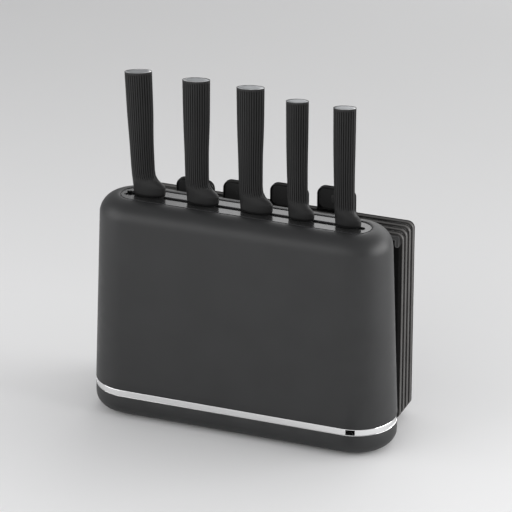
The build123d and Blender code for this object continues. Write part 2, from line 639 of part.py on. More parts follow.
# name, handle, blade length, blade width, heel drop, tip share of the width, belly share, lean
KNIVES = [
    ("bread_knife", LARGE, LONG_BLADE, BREAD_WIDTH, 6.0, 0.35, 0.86, BREAD_LEAN),
    ("chef_knife", LARGE, LONG_BLADE, CHEF_WIDTH, 12.0, 0.3, 0.42, 0.0),
    ("carving_knife", LARGE, LONG_BLADE, CARVING_WIDTH, 5.0, 0.3, 0.7, 0.0),
    ("utility_knife", SMALL, UTILITY_BLADE, UTILITY_WIDTH, 5.0, 0.3, 0.55, 0.0),
    ("paring_knife", SMALL, PARING_BLADE, PARING_WIDTH, 5.0, 0.3, 0.45, 0.0),
]


def knife_places():
    """Centre of each handle along the block."""
    places = [-HALF_LENGTH + ROW_LEFT_MARGIN]
    for pitch in ROW_PITCHES:
        places.append(places[-1] + pitch)
    return places


def save_knife(place, name, handle, blade_length, width, heel_drop, tip_share, belly_share, lean):
    """Builds one knife and stands it on the top plate, leaning about the foot's spine side."""
    rows, thickness = handle
    foot = rows[0][1]
    stand = Pos(place - foot, 0, HANDLE_BOTTOM) * Rot(0, -lean, 0) * Pos(foot, 0, 0)
    save(f"{name}_blade", stand * blade(rows, blade_length, width, heel_drop, tip_share, belly_share))
    save(f"{name}_handle_core", stand * handle_core(rows, thickness))
    save(f"{name}_grip_sleeve", stand * grip_sleeve(rows, thickness))
    save(f"{name}_end_cap", stand * end_cap(rows, thickness))


save("block_shell", block_shell())
save("trim_band", trim_band())
save("base_shell", base_shell())
save("rubber_feet", *feet())
save("top_plate", top_plate())
save("guide_panel_front", guide_panel(-1))
save("guide_panel_rear", guide_panel(1))
save("guide_end_strips", *guide_end_strips())
save("slot_liner_front", slot_liner(-1))
save("slot_liner_rear", slot_liner(1))
save("tip_pad", tip_pad())
save("guide_screws", *guide_screws())
save("base_screws", *base_screws())
save("rack_tray", rack_tray())
save("rack_dividers", *rack_dividers())
save("rack_screws", *rack_screws())

for index, board in enumerate(("front_board", "second_board", "third_board", "rear_board")):
    save(f"{board}_panel", board_panel(index))
    save(f"{board}_tab_label", tab_label(index))
    save(f"{board}_corner_grips", *board_grips(index))

for place, knife in zip(knife_places(), KNIVES):
    save_knife(place, *knife)
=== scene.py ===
import bmesh
import bpy
import json
import math
import numpy as np
from mathutils import Matrix, Vector


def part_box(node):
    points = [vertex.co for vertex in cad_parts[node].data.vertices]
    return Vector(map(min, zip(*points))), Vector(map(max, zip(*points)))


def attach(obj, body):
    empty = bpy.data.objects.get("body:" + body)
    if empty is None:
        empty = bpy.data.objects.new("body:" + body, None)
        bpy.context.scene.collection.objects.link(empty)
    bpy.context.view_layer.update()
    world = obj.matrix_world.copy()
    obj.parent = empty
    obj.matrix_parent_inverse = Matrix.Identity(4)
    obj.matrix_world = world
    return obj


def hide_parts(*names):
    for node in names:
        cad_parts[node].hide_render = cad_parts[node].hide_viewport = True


# Knife block with five knives in one long slot and four index chopping boards in a rear rack.
# Metres, +Z up, +X to the right along the slot, -Y towards the user.

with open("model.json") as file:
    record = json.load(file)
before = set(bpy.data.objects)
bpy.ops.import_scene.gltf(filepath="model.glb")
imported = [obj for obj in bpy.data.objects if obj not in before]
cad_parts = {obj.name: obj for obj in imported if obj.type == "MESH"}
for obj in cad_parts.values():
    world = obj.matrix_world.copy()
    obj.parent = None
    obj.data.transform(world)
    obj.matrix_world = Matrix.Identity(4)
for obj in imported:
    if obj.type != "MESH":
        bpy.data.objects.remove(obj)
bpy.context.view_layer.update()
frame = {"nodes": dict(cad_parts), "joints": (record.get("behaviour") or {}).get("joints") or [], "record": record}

# ---- Places and sizes that the frame gives ----

SHELL_LOW, SHELL_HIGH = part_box("block_shell")
BASE_LOW, BASE_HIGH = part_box("base_shell")
BAND_LOW, BAND_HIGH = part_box("trim_band")
PLATE_LOW, PLATE_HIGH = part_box("top_plate")
BLOCK_Y = (SHELL_LOW.y + SHELL_HIGH.y) / 2
HALF_LENGTH = SHELL_HIGH.x
HALF_DEPTH = (SHELL_HIGH.y - SHELL_LOW.y) / 2
BLOCK_TOP = SHELL_HIGH.z
PLATE_HALF_LENGTH = PLATE_HIGH.x
PLATE_HALF_DEPTH = (PLATE_HIGH.y - PLATE_LOW.y) / 2

# ---- Form details of the block ----

END_TAPER = 0.0075
FACE_TAPER = 0.0054
SHOULDER_RADIUS = 0.0188
SHELL_WALL = 0.0022
TOP_WALL = 0.0044
SEAM_ROUND = 0.0004
SHELL_RISES = (0.002, 0.01, 0.04, 0.08, 0.12, 0.15, 0.17)
PLATE_EDGE_ROUND = 0.0004
PLATE_UNDER_ROUND = 0.0002
PLATE_STEP = 0.002
PLATE_LEDGE = 0.0034
PLATE_STEP_GAP = 0.00002
PLATE_GAP = 0.00025
BASE_EDGE_RADIUS = 0.013
BASE_WALL = 0.0046
BASE_FLOOR = 0.004
BASE_SEAM_DROP = 0.004
BAND_EDGE_ROUND = 0.0006
BAND_INSET = 0.00025
SPIGOT_INSET = 0.0026
SLOT_WIDTH = 0.0046
SLOT_LEFT_MARGIN = 0.00435
SLOT_RIGHT_MARGIN = 0.00635
MOUTH_REAR_RUN = 0.0007
MOUTH_FRONT_RUN = 0.0005
# Toothed mouth's corners in mm: from the slot's left end, and from its centre line
MOUTH_REAR = [(0.0, 3.2), (0.9, 4.3), (2.4, 3.4), (3.6, 5.0), (5.2, 3.9), (6.8, 6.0), (9.6, 6.0), (11.0, 3.6)]
MOUTH_FRONT = [(9.0, -2.6), (7.2, -4.0), (5.4, -5.0), (3.8, -3.6), (2.4, -4.6), (0.0, -3.6), (1.5, 0.0)]

# ---- Feet: rows of inset from the foot's radius, and rise from the floor ----

FOOT_TREAD = [(0.0012, 0.0004), (0.001, 0.0), (0.0007, 0.0), (0.0002, 0.0004), (0.0, 0.001)]
FOOT_DISH_SHARE = 0.4
FOOT_DISH_DEPTH = 0.0004
FOOT_CELL = 0.03
FEET_APART = 0.02

# ---- Handles: rows of height, reach to the spine side and reach to the edge side, in mm ----

MM = 0.001
LARGE_NECK = [(0.0, 10.4, 22.3), (4.0, 10.6, 22.8), (9.0, 10.9, 22.8), (11.5, 11.1, 21.0),
              (14.0, 11.3, 17.9), (17.5, 11.5, 14.6), (22.0, 11.8, 12.9), (29.0, 12.1, 12.4)]
SMALL_NECK = [(0.0, 8.5, 17.5), (3.0, 8.6, 17.9), (7.2, 8.8, 17.7), (9.2, 8.9, 16.2),
              (11.2, 9.0, 14.2), (14.0, 9.2, 12.4), (18.0, 9.3, 11.3), (29.0, 9.6, 10.9)]
LARGE_GRIP = [(0.4, 12.6, 12.5), (0.7, 13.8, 13.8), (1.0, 14.3, 14.3)]
SMALL_GRIP = [(0.4, 10.4, 10.8), (0.7, 11.2, 11.2), (1.0, 11.5, 11.5)]
NECK_HEIGHT = 0.012
NECK_FOOT_ROUND = 0.0011
SLEEVE_WALL = 0.0024
SLEEVE_RIM_ROUND = 0.00022
SLEEVE_INNER_RISES = (0.03, 0.017, 0.01, 0.005, 0.0)
CAP_LIP = 0.0003
CAP_THICKNESS = 0.0022
CAP_RECESS = 0.00005
CAP_EDGE_ROUND = 0.0005
MOULD_GAP = 0.00008
OVAL_STEPS = 96

# The handle's end slopes. The shear starts SLOPE_REACH below the end and is full SLOPE_FULL below it.
CAP_SLOPE = math.tan(math.radians(5.0))
SLOPE_REACH = 0.03
SLOPE_FULL = 0.004

# Flutes start above the neck, deepen over FLUTE_RUN_IN and stop just under the sleeve's rim.
FLUTE_DEPTH = 0.0008
FLUTE_STEPS = 8
FLUTE_HALF_SHARE = 0.26
FLUTE_START = 0.001
FLUTE_RUN_IN = 0.009
FLUTE_END = 0.0008
FLUTE_RUN_OUT = 0.0011

LARGE_HANDLE = {"neck": LARGE_NECK, "grip": LARGE_GRIP, "length": 128.0, "thickness": 13.4, "flutes": 28}
SMALL_HANDLE = {"neck": SMALL_NECK, "grip": SMALL_GRIP, "length": 121.0, "thickness": 12.0, "flutes": 24}

# ---- Blades ----

SPINE_INSET = 0.0012
GUARD_OVERHANG = 0.002
TANG_HALF_WIDTH = 0.005
TANG_OFFSET = 0.001
TANG_SHARE = 0.78
TANG_FOOT = 0.0005
PLAIN_STEP = 0.0025
SERRATED_STEP = 0.0007
SERRATION_DEPTH = 0.0013
SERRATION_FADE = 0.02
LEAST_WIDTH = 0.0004
TIP_HALF_WIDTH = 0.0001
TIP_THIN_SHARE = 0.3
# Share of the width from the spine, and of the thickness there
BLADE_SECTION = [(0.0, 0.35), (0.015, 0.8), (0.04, 1.0), (0.35, 1.0),
                 (0.62, 0.8), (0.9, 0.42), (0.965, 0.3), (1.0, 0.06)]

# name, handle, (blade length, width, heel drop, tip share, belly share, serration pitch)
KNIVES = [
    ("bread_knife", LARGE_HANDLE, (0.200, 0.032, 0.006, 0.35, 0.86, 0.0062)),
    ("chef_knife", LARGE_HANDLE, (0.200, 0.043, 0.012, 0.3, 0.42, 0.0)),
    ("carving_knife", LARGE_HANDLE, (0.200, 0.029, 0.005, 0.3, 0.7, 0.0)),
    ("utility_knife", SMALL_HANDLE, (0.130, 0.025, 0.005, 0.3, 0.55, 0.0)),
    ("paring_knife", SMALL_HANDLE, (0.090, 0.0215, 0.005, 0.3, 0.45, 0.0)),
]

# ---- Boards ----

BOARD_CORNER = 0.007
TAB_CORNER = 0.0085
TAB_FILLET = 0.0012
TAB_BORDER = 0.002
LABEL_DEPTH = 0.001
LABEL_GAP = 0.0001
LABEL_EDGE_ROUND = 0.0003
# Pocket's rim: inset and depth from the board's face
POCKET_RIM = [(0.0004, 0.0), (0.00012, 0.00012), (0.0, 0.0004), (0.0, LABEL_DEPTH)]
SIGN_SIZE = 0.0062
# Sign's edge: inset and height over the label's face
SIGN_EDGE = [(0.0, -0.0001), (0.00008, 0.000144), (0.00018, 0.00018)]
BOARD_ROUND = 0.0012
SEAM_HALF_WIDTH = 0.0005
SEAM_DEPTH = 0.0005
SEAM_FLOOR_HALF = 0.0001
PAD_WIDTH = 0.0046
PAD_HEIGHT = 0.012
PAD_LENGTH = 0.016
PAD_FILLET = 0.0006
PAD_OPENING_ROUND = 0.0003
# Bead round a pad's face: inset and depth from its crest
PAD_BEAD = [(0.0, 0.00035), (0.00012, 0.00008), (0.0004, 0.0), (0.0008, 0.00006), (0.0011, 0.0003)]
PAD_INSET = 0.003
BOARD_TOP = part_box("front_board_corner_grips")[1].z + PAD_INSET
BOARDS = ("front_board", "second_board", "third_board", "rear_board")

# ---- Rack ----

RACK_LOW, RACK_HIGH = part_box("rack_tray")
RACK_UNDERSIDE = 0.0036
RACK_FRONT_TOP = 0.024
RACK_FRONT_WALL = 0.0025
RACK_FRONT_CORNER = 0.003
RACK_REAR_WALL = 0.0035
RACK_CORNER = 0.01
RACK_EDGE_ROUND = 0.0006
RACK_FLOOR_INSET = 0.0005
BOARD_REST_GAP = 0.0002
FIN_COUNT = 3
FIN_PITCH = 0.01
# Collar over a rack foot: how far out from the foot's radius, and height
FOOT_COLLAR = [(0.0026, 0.002), (0.0031, 0.0024), (0.0031, RACK_UNDERSIDE + 0.0002)]

# ---- Places of the stage, lights and camera ----

SQUARE = ((-1, -1), (1, -1), (1, 1), (-1, 1))
FLOOR_REACH = 9.0
FLOOR_NEAR, FLOOR_FAR = -0.9, 1.3
AMBIENT = (0.985, 0.985, 1.0, 1.0)
AMBIENT_STRENGTH = 0.48
LIT_POINT = (0.0, BLOCK_Y, 0.12)
# name, place, width and height, watts
SOFTBOXES = [
    ("rear_sweep", (0.35, 2.3, 1.15), (3.0, 1.5), 22),
    ("overhead_rear", (0.0, 1.5, 2.2), (3.4, 2.0), 5),
    ("right_sweep", (2.3, 0.6, 0.8), (2.6, 1.5), 56),
    ("left_sweep", (-2.0, -1.5, 1.0), (2.4, 1.8), 26),
    ("front_fill", (-0.5, -2.9, 1.5), (3.4, 2.0), 16),
]
# The dark card stands to the right of where the round end starts, and in front of the block's face.
FLAG_RIGHT, FLAG_AHEAD, FLAG_HEIGHT = 0.0128, 0.0437, 0.0095
FLAG_HALF_WIDTH, FLAG_HALF_HEIGHT = 0.0157, 0.009
VIEW_AZIMUTH, VIEW_ELEVATION = math.radians(21.4), math.radians(23.9)
VIEW_DISTANCE = 3.46
AIM_HEIGHT, AIM_RIGHT, AIM_UP = 0.11, 0.0108, 0.0634
FOCAL_LENGTH = 247.5
CLIP_DISTANCE = 50


# ---- Node helpers ----

def add(tree, kind, inputs=None, **settings):
    """Adds a node, sets its properties, and links or sets its inputs by name or number."""
    node = tree.nodes.new(kind)
    for name, value in settings.items():
        setattr(node, name, value)
    for key, value in (inputs or {}).items():
        if isinstance(value, bpy.types.NodeSocket):
            tree.links.new(value, node.inputs[key])
        else:
            node.inputs[key].default_value = value
    return node


def math_node(tree, operation, first, second=0.0):
    """Math node's result."""
    return add(tree, "ShaderNodeMath", {0: first, 1: second}, operation=operation).outputs[0]


def scaled(tree, value, low, high, low_out=0.0, high_out=1.0):
    """Value mapped from one range onto another, held at both ends."""
    ends = {"Value": value, "From Min": low, "From Max": high, "To Min": low_out, "To Max": high_out}
    return add(tree, "ShaderNodeMapRange", ends, interpolation_type="SMOOTHSTEP").outputs["Result"]


def noise(tree, vector, scale, detail=3.0, roughness=0.55, distortion=0.0):
    """Noise value from 0 to 1 at a point."""
    inputs = {"Vector": vector, "Scale": scale, "Detail": detail, "Roughness": roughness,
              "Distortion": distortion}
    return add(tree, "ShaderNodeTexNoise", inputs).outputs[0]


def new_group(name, inputs, outputs):
    """Empty shader node group with named inputs, a vector or a number each, and number outputs."""
    group = bpy.data.node_groups.new(name, "ShaderNodeTree")
    for label, value in inputs:
        kind = "NodeSocketVector" if isinstance(value, tuple) else "NodeSocketFloat"
        socket = group.interface.new_socket(label, in_out="INPUT", socket_type=kind)
        socket.default_value = value
    for label in outputs:
        group.interface.new_socket(label, in_out="OUTPUT", socket_type="NodeSocketFloat")
    return group, add(group, "NodeGroupInput"), add(group, "NodeGroupOutput")


def object_point(tree):
    """Point in the object's own frame."""
    return add(tree, "ShaderNodeTexCoord").outputs["Object"]


# ---- Shared effects ----

def moulded_grain():
    """Fine spark-eroded grain of moulded plastic, with a slow change of tone."""
    group, given, result = new_group("moulded_grain", [("Grain Size", 0.0006)], ["Height", "Tone"])
    point = object_point(group)
    scale = math_node(group, "DIVIDE", 1.0, given.outputs["Grain Size"])
    fine = noise(group, point, scale, detail=4.0)
    pit_scale = math_node(group, "MULTIPLY", scale, 0.6)
    pits = add(group, "ShaderNodeTexVoronoi", {"Vector": point, "Scale": pit_scale})
    height = math_node(group, "ADD", fine, math_node(group, "MULTIPLY", pits.outputs["Distance"], 0.5))
    slow = noise(group, point, 22.0, detail=2.0)
    group.links.new(height, result.inputs["Height"])
    group.links.new(slow, result.inputs["Tone"])
    return group


def edge_wear():
    """Mask of convex edges, broken up so that it isn't even."""
    group, given, result = new_group("edge_wear", [("Reach", 0.03), ("Patch Scale", 90.0)], ["Mask"])
    sharpness = add(group, "ShaderNodeNewGeometry").outputs["Pointiness"]
    top = math_node(group, "ADD", 0.5, given.outputs["Reach"])
    edge = scaled(group, sharpness, 0.503, top)
    patches = scaled(group, noise(group, object_point(group), given.outputs["Patch Scale"]), 0.35, 0.7)
    group.links.new(math_node(group, "MULTIPLY", edge, patches), result.inputs["Mask"])
    return group


def dust_film():
    """Mask of thin dust on what faces up."""
    group, given, result = new_group("dust_film", [("Patch Scale", 40.0)], ["Mask"])
    normal = add(group, "ShaderNodeTexCoord").outputs["Normal"]
    upward = add(group, "ShaderNodeSeparateXYZ", {"Vector": normal}).outputs["Z"]
    lying = scaled(group, upward, 0.55, 1.0)
    patches = noise(group, object_point(group), given.outputs["Patch Scale"], detail=6.0)
    specks = scaled(group, noise(group, object_point(group), 1500.0, detail=1.0), 0.66, 0.8)
    loose = math_node(group, "ADD", math_node(group, "MULTIPLY", patches, 0.5), specks)
    group.links.new(math_node(group, "MULTIPLY", lying, loose), result.inputs["Mask"])
    return group


def brush_lines():
    """Fine parallel lines of brushed metal, drawn out along the axis with the smallest stretch."""
    group, given, result = new_group("brush_lines", [("Stretch", (1.0, 1.0, 1.0))], ["Height", "Tone"])
    point = add(group, "ShaderNodeVectorMath", {0: object_point(group), 1: given.outputs["Stretch"]},
                operation="MULTIPLY").outputs[0]
    lines = noise(group, point, 1.0, detail=5.0, roughness=0.7)
    bands = noise(group, point, 0.12, detail=2.0)
    group.links.new(lines, result.inputs["Height"])
    group.links.new(bands, result.inputs["Tone"])
    return group


def handling_marks():
    """Mask of faint smears that hands and cloths leave on a smooth surface."""
    group, given, result = new_group("handling_marks", [("Smear Scale", 30.0)], ["Mask"])
    point = object_point(group)
    smears = noise(group, point, given.outputs["Smear Scale"], detail=3.0, distortion=1.5)
    broken = noise(group, point, 260.0, detail=3.0)
    mixed = math_node(group, "ADD", smears, math_node(group, "MULTIPLY", broken, 0.3))
    group.links.new(scaled(group, mixed, 0.6, 0.95), result.inputs["Mask"])
    return group


def hair_scratches():
    """Mask of thin crossing scratches."""
    group, given, result = new_group("hair_scratches", [("Length Scale", 25.0)], ["Mask"])
    point = object_point(group)
    total = None
    for turn in (0.35, -0.5, 1.2):
        turned = add(group, "ShaderNodeVectorRotate", {"Vector": point, "Angle": turn},
                     rotation_type="Y_AXIS")
        drawn = add(group, "ShaderNodeVectorMath", {0: turned.outputs[0], 1: (1.0, 1.0, 40.0)},
                    operation="MULTIPLY")
        streaks = noise(group, drawn.outputs[0], given.outputs["Length Scale"], detail=1.0)
        line = scaled(group, streaks, 0.7, 0.74)
        total = line if total is None else math_node(group, "MAXIMUM", total, line)
    group.links.new(total, result.inputs["Mask"])
    return group


GRAIN = moulded_grain()
WEAR = edge_wear()
DUST = dust_film()
BRUSH = brush_lines()
MARKS = handling_marks()
SCRATCHES = hair_scratches()


# ---- Materials ----

def blank_material(name, **fixed):
    """Material with a Principled shader whose given inputs are set once."""
    material = bpy.data.materials.new(name)
    material.use_nodes = True
    tree = material.node_tree
    tree.nodes.clear()
    shader = add(tree, "ShaderNodeBsdfPrincipled")
    add(tree, "ShaderNodeOutputMaterial", {"Surface": shader.outputs[0]})
    for label, value in fixed.items():
        shader.inputs[label.replace("_", " ")].default_value = value
    return material, tree, shader


def group_node(tree, group, **inputs):
    """A shared effect placed in a material with its own values."""
    node = add(tree, "ShaderNodeGroup", node_tree=group)
    for label, value in inputs.items():
        node.inputs[label.replace("_", " ")].default_value = value
    return node


def grey(value, warm=0.0):
    """Near-neutral colour, a little warm or cool."""
    return (value * (1 + warm), value, value * (1 - warm), 1.0)


def blend_colours(tree, share, base, over):
    """Colour between two, by a mask."""
    mix = add(tree, "ShaderNodeMix", {"Factor": share}, data_type="RGBA")
    for number, colour in ((6, base), (7, over)):
        if isinstance(colour, bpy.types.NodeSocket):
            tree.links.new(colour, mix.inputs[number])
        else:
            mix.inputs[number].default_value = colour
    return mix.outputs[2]


DUST_TONE = grey(0.42, 0.04)
BOARD_DUST_TONE = grey(0.4, 0.04)


def plastic(name, colour, light, rough, grain_size, bump, edge_wear_and_sheen=0.5, dust=0.12, specular=0.5):
    """Moulded plastic or rubber: grained, a little uneven in tone, lighter on edges, thinly dusty."""
    material, tree, shader = blank_material(name, Specular_IOR_Level=specular)
    grain = group_node(tree, GRAIN, Grain_Size=grain_size)
    toned = blend_colours(tree, scaled(tree, grain.outputs["Tone"], 0.3, 0.7), colour, light)
    # Lighter convex edges: real wear, and on the corner pads also a painted highlight round the bead.
    edge_wear_and_sheen_mask = math_node(tree, "MULTIPLY", group_node(tree, WEAR).outputs["Mask"], edge_wear_and_sheen)
    worn = blend_colours(tree, edge_wear_and_sheen_mask, toned, grey(light[1] * 2.6))
    dust_mask = math_node(tree, "MULTIPLY", group_node(tree, DUST).outputs["Mask"], dust)
    tree.links.new(blend_colours(tree, dust_mask, worn, DUST_TONE), shader.inputs["Base Color"])
    uneven = scaled(tree, group_node(tree, MARKS).outputs["Mask"], 0.0, 1.0, rough, rough * 0.86)
    dusty = math_node(tree, "ADD", uneven, math_node(tree, "MULTIPLY", dust_mask, 0.5))
    tree.links.new(dusty, shader.inputs["Roughness"])
    relief = add(tree, "ShaderNodeBump", {"Strength": bump, "Distance": grain_size * 0.12,
                                          "Height": grain.outputs["Height"]})
    tree.links.new(relief.outputs[0], shader.inputs["Normal"])
    return material


def brushed_metal(name, colour, light, rough, stretch, bump, smear=0.08):
    """Metal with fine parallel lines, smears and brighter worn edges."""
    material, tree, shader = blank_material(name, Metallic=1.0)
    lines = group_node(tree, BRUSH, Stretch=stretch)
    toned = blend_colours(tree, scaled(tree, lines.outputs["Tone"], 0.25, 0.75), colour, light)
    bright = blend_colours(tree, group_node(tree, WEAR).outputs["Mask"], toned, grey(0.85))
    tree.links.new(bright, shader.inputs["Base Color"])
    smears = math_node(tree, "MULTIPLY", group_node(tree, MARKS).outputs["Mask"], smear)
    streaks = scaled(tree, lines.outputs["Height"], 0.2, 0.8, rough * 0.8, rough * 1.25)
    tree.links.new(math_node(tree, "ADD", streaks, smears), shader.inputs["Roughness"])
    relief = add(tree, "ShaderNodeBump", {"Strength": bump, "Distance": 0.00003,
                                          "Height": lines.outputs["Height"]})
    tree.links.new(relief.outputs[0], shader.inputs["Normal"])
    return material


def board_material():
    """Black board: grained, faintly scratched faces and smoother rims, with a painted sheen on the rims below the
    tabs.
    """
    material, tree, shader = blank_material("board_black", Specular_IOR_Level=0.22)
    grain = group_node(tree, GRAIN, Grain_Size=0.0009)
    normal = add(tree, "ShaderNodeTexCoord").outputs["Normal"]
    facing = add(tree, "ShaderNodeSeparateXYZ", {"Vector": normal}).outputs["Y"]
    flat = scaled(tree, math_node(tree, "ABSOLUTE", facing), 0.9, 0.99)
    mottle = scaled(tree, grain.outputs["Tone"], 0.3, 0.7)
    face = blend_colours(tree, mottle, grey(0.004), grey(0.0065))
    cut = math_node(tree, "MULTIPLY", group_node(tree, SCRATCHES).outputs["Mask"], 0.25)
    toned = blend_colours(tree, cut, face, grey(0.03))
    # Painted sheen: the rims below the tabs are coloured paler to stand in for the light they reflect; the tab
    # rims keep the face colour.
    painted_rim_sheen = blend_colours(tree, mottle, grey(0.085, 0.03), grey(0.11, 0.03))
    height = add(tree, "ShaderNodeSeparateXYZ", {"Vector": object_point(tree)}).outputs["Z"]
    rim = blend_colours(tree, scaled(tree, height, BOARD_TOP, BOARD_TOP + 0.002), painted_rim_sheen, face)
    dust_mask = math_node(tree, "MULTIPLY", group_node(tree, DUST).outputs["Mask"], 0.1)
    clean = blend_colours(tree, flat, rim, toned)
    colour = blend_colours(tree, dust_mask, clean, BOARD_DUST_TONE)
    tree.links.new(colour, shader.inputs["Base Color"])
    smoothness = scaled(tree, flat, 0.0, 1.0, 0.3, 0.6)
    marks = math_node(tree, "MULTIPLY", group_node(tree, MARKS).outputs["Mask"], 0.08)
    tree.links.new(math_node(tree, "ADD", smoothness, marks), shader.inputs["Roughness"])
    grained = math_node(tree, "MULTIPLY", grain.outputs["Height"], scaled(tree, flat, 0.0, 1.0, 0.2, 1.0))
    relief = add(tree, "ShaderNodeBump", {"Strength": 0.5, "Distance": 0.00012, "Height": grained})
    tree.links.new(relief.outputs[0], shader.inputs["Normal"])
    return material


def chrome_band():
    """Bright plated band with faint smears and polishing lines."""
    material, tree, shader = blank_material("bright_chrome", Metallic=1.0)
    lines = group_node(tree, BRUSH, Stretch=(40.0, 40.0, 2500.0))
    toned = blend_colours(tree, lines.outputs["Tone"], grey(0.86), grey(0.93))
    tree.links.new(toned, shader.inputs["Base Color"])
    smears = math_node(tree, "MULTIPLY", group_node(tree, MARKS).outputs["Mask"], 0.06)
    tree.links.new(math_node(tree, "ADD", smears, 0.05), shader.inputs["Roughness"])
    relief = add(tree, "ShaderNodeBump", {"Strength": 0.08, "Distance": 0.00002,
                                          "Height": lines.outputs["Height"]})
    tree.links.new(relief.outputs[0], shader.inputs["Normal"])
    return material


FINISHES = {
    "shell_plastic": plastic("charcoal_shell", grey(0.015, -0.03), grey(0.018, -0.03), rough=0.46,
                             grain_size=0.0007, bump=0.35, edge_wear_and_sheen=0.25, dust=0.02),
    "base_plastic": plastic("charcoal_base", grey(0.014, -0.03), grey(0.017, -0.03), rough=0.48,
                            grain_size=0.0007, bump=0.35, edge_wear_and_sheen=0.25, dust=0.03),
    "band_chrome": chrome_band(),
    "plate_plastic": plastic("satin_plate", grey(0.014, -0.02), grey(0.018, -0.02), rough=0.24,
                             grain_size=0.0005, bump=0.08, edge_wear_and_sheen=0.2, dust=0.04, specular=0.75),
    "neck_plastic": plastic("handle_neck", grey(0.0065), grey(0.0085), rough=0.5,
                            grain_size=0.0006, bump=0.3, edge_wear_and_sheen=0.15, dust=0.02, specular=0.38),
    "sleeve_rubber": plastic("ribbed_grip", grey(0.0065), grey(0.0085), rough=0.48,
                             grain_size=0.0006, bump=0.3, edge_wear_and_sheen=0.3, dust=0.03, specular=0.4),
    "cap_steel": brushed_metal("cap_steel", grey(0.28, -0.03), grey(0.33, -0.03), rough=0.4,
                               stretch=(250.0, 5200.0, 250.0), bump=0.35),
    "blade_steel": brushed_metal("blade_steel", grey(0.55), grey(0.63), rough=0.26,
                                 stretch=(5200.0, 900.0, 130.0), bump=0.3),
    "board_plastic": board_material(),
    "label_plastic": plastic("tab_label", grey(0.034), grey(0.042), rough=0.42,
                             grain_size=0.0008, bump=0.3, dust=0.03),
    # The high edge share paints a highlight on the pad's bead besides its wear.
    "corner_rubber": plastic("corner_pad", grey(0.11), grey(0.14), rough=0.55,
                             grain_size=0.0005, bump=0.4, edge_wear_and_sheen=0.6, dust=0.05),
    "rack_plastic": plastic("rack_black", grey(0.014), grey(0.018), rough=0.5,
                            grain_size=0.0008, bump=0.4, dust=0.1),
    "guide_plastic": plastic("guide_black", grey(0.012), grey(0.016), rough=0.55,
                             grain_size=0.0009, bump=0.4, edge_wear_and_sheen=0.4, dust=0.1),
    "foot_rubber": plastic("foot_rubber", grey(0.016), grey(0.021), rough=0.7,
                           grain_size=0.0005, bump=0.5, edge_wear_and_sheen=0.3, dust=0.05),
    "liner_rubber": plastic("liner_rubber", grey(0.008), grey(0.011), rough=0.7,
                            grain_size=0.0005, bump=0.4, edge_wear_and_sheen=0.2, dust=0.03),
    "screw_steel": brushed_metal("screw_steel", grey(0.5), grey(0.6), rough=0.35,
                                 stretch=(900.0, 900.0, 900.0), bump=0.3),
}


# ---- Mesh helpers ----

SHARP_ANGLE = math.radians(38)


def walls(bm, loops):
    """Quads between each loop of vertices and the next."""
    for lower, upper in zip(loops, loops[1:]):
        for i in range(len(lower)):
            j = (i + 1) % len(lower)
            bm.faces.new((lower[i], lower[j], upper[j], upper[i]))


def edges_of(bm, loop):
    """The edges that join a loop's vertices."""
    return [bm.edges.get((loop[i], loop[(i + 1) % len(loop)])) for i in range(len(loop))]


def skin(bm, rings, closed=False):
    """Quads between rings of equal length: a closed tube of rings, or one with flat ends."""
    loops = [[bm.verts.new(point) for point in ring] for ring in rings]
    walls(bm, loops + loops[:1] if closed else loops)
    if not closed:
        bm.faces.new(loops[0][::-1])
        bm.faces.new(loops[-1])


def piece(name, bm, slot, body, *nodes):
    """Finishes a mesh, gives it its slot's material, ties it to its body, and hides its CAD nodes."""
    bmesh.ops.recalc_face_normals(bm, faces=bm.faces)
    for face in bm.faces:
        face.smooth = True
    for edge in bm.edges:
        if len(edge.link_faces) == 2:
            edge.smooth = edge.calc_face_angle() < SHARP_ANGLE
    mesh = bpy.data.meshes.new(name)
    bm.to_mesh(mesh)
    bm.free()
    made = bpy.data.objects.new(name, mesh)
    bpy.context.scene.collection.objects.link(made)
    mesh.materials.append(FINISHES[slot])
    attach(made, body)
    if nodes:
        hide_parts(*nodes)
    return made


def arc(centre, radius, start, end, steps):
    """Points of a round stretch, angles in degrees."""
    turns = [math.radians(start + (end - start) * i / steps) for i in range(steps + 1)]
    return [(centre[0] + radius * math.cos(t), centre[1] + radius * math.sin(t)) for t in turns]


def rounding(radius, steps=4):
    """Inset and drop along a rounded edge, from the side up to the top."""
    turns = [math.pi / 2 * i / steps for i in range(steps + 1)]
    return [(radius * (1 - math.sin(t)), radius * (1 - math.cos(t))) for t in turns]


def circle(x, y, radius, z, steps=40):
    """Level circle of a turned piece."""
    return [Vector((x + px, y + py, z)) for px, py in arc((0, 0), radius, 0, 360, steps)[:-1]]


def stadium(half_length, half_depth, z, arc_steps=28, flat_steps=20):
    """Level ring with straight sides and round ends, about the block's centre line."""
    straight = half_length - half_depth
    outline = arc((straight, 0), half_depth, -90, 90, arc_steps)
    outline += [(straight - 2 * straight * i / flat_steps, half_depth) for i in range(1, flat_steps)]
    outline += arc((-straight, 0), half_depth, 90, 270, arc_steps)
    outline += [(-straight + 2 * straight * i / flat_steps, -half_depth) for i in range(1, flat_steps)]
    return [Vector((x, BLOCK_Y + y, z)) for x, y in outline]


def inset_loop(outline, distance):
    """Outline moved sideways to its left by a distance, corner by corner."""
    count = len(outline)
    moved = []
    for i, (x, y) in enumerate(outline):
        before = Vector((x, y)) - Vector(outline[i - 1])
        after = Vector(outline[(i + 1) % count]) - Vector((x, y))
        normals = [Vector((-d.y, d.x)).normalized() for d in (before, after)]
        both = normals[0] + normals[1]
        shift = both * (distance / max(0.3, 1 + normals[0].dot(normals[1])))
        moved.append((x + shift.x, y + shift.y))
    return moved


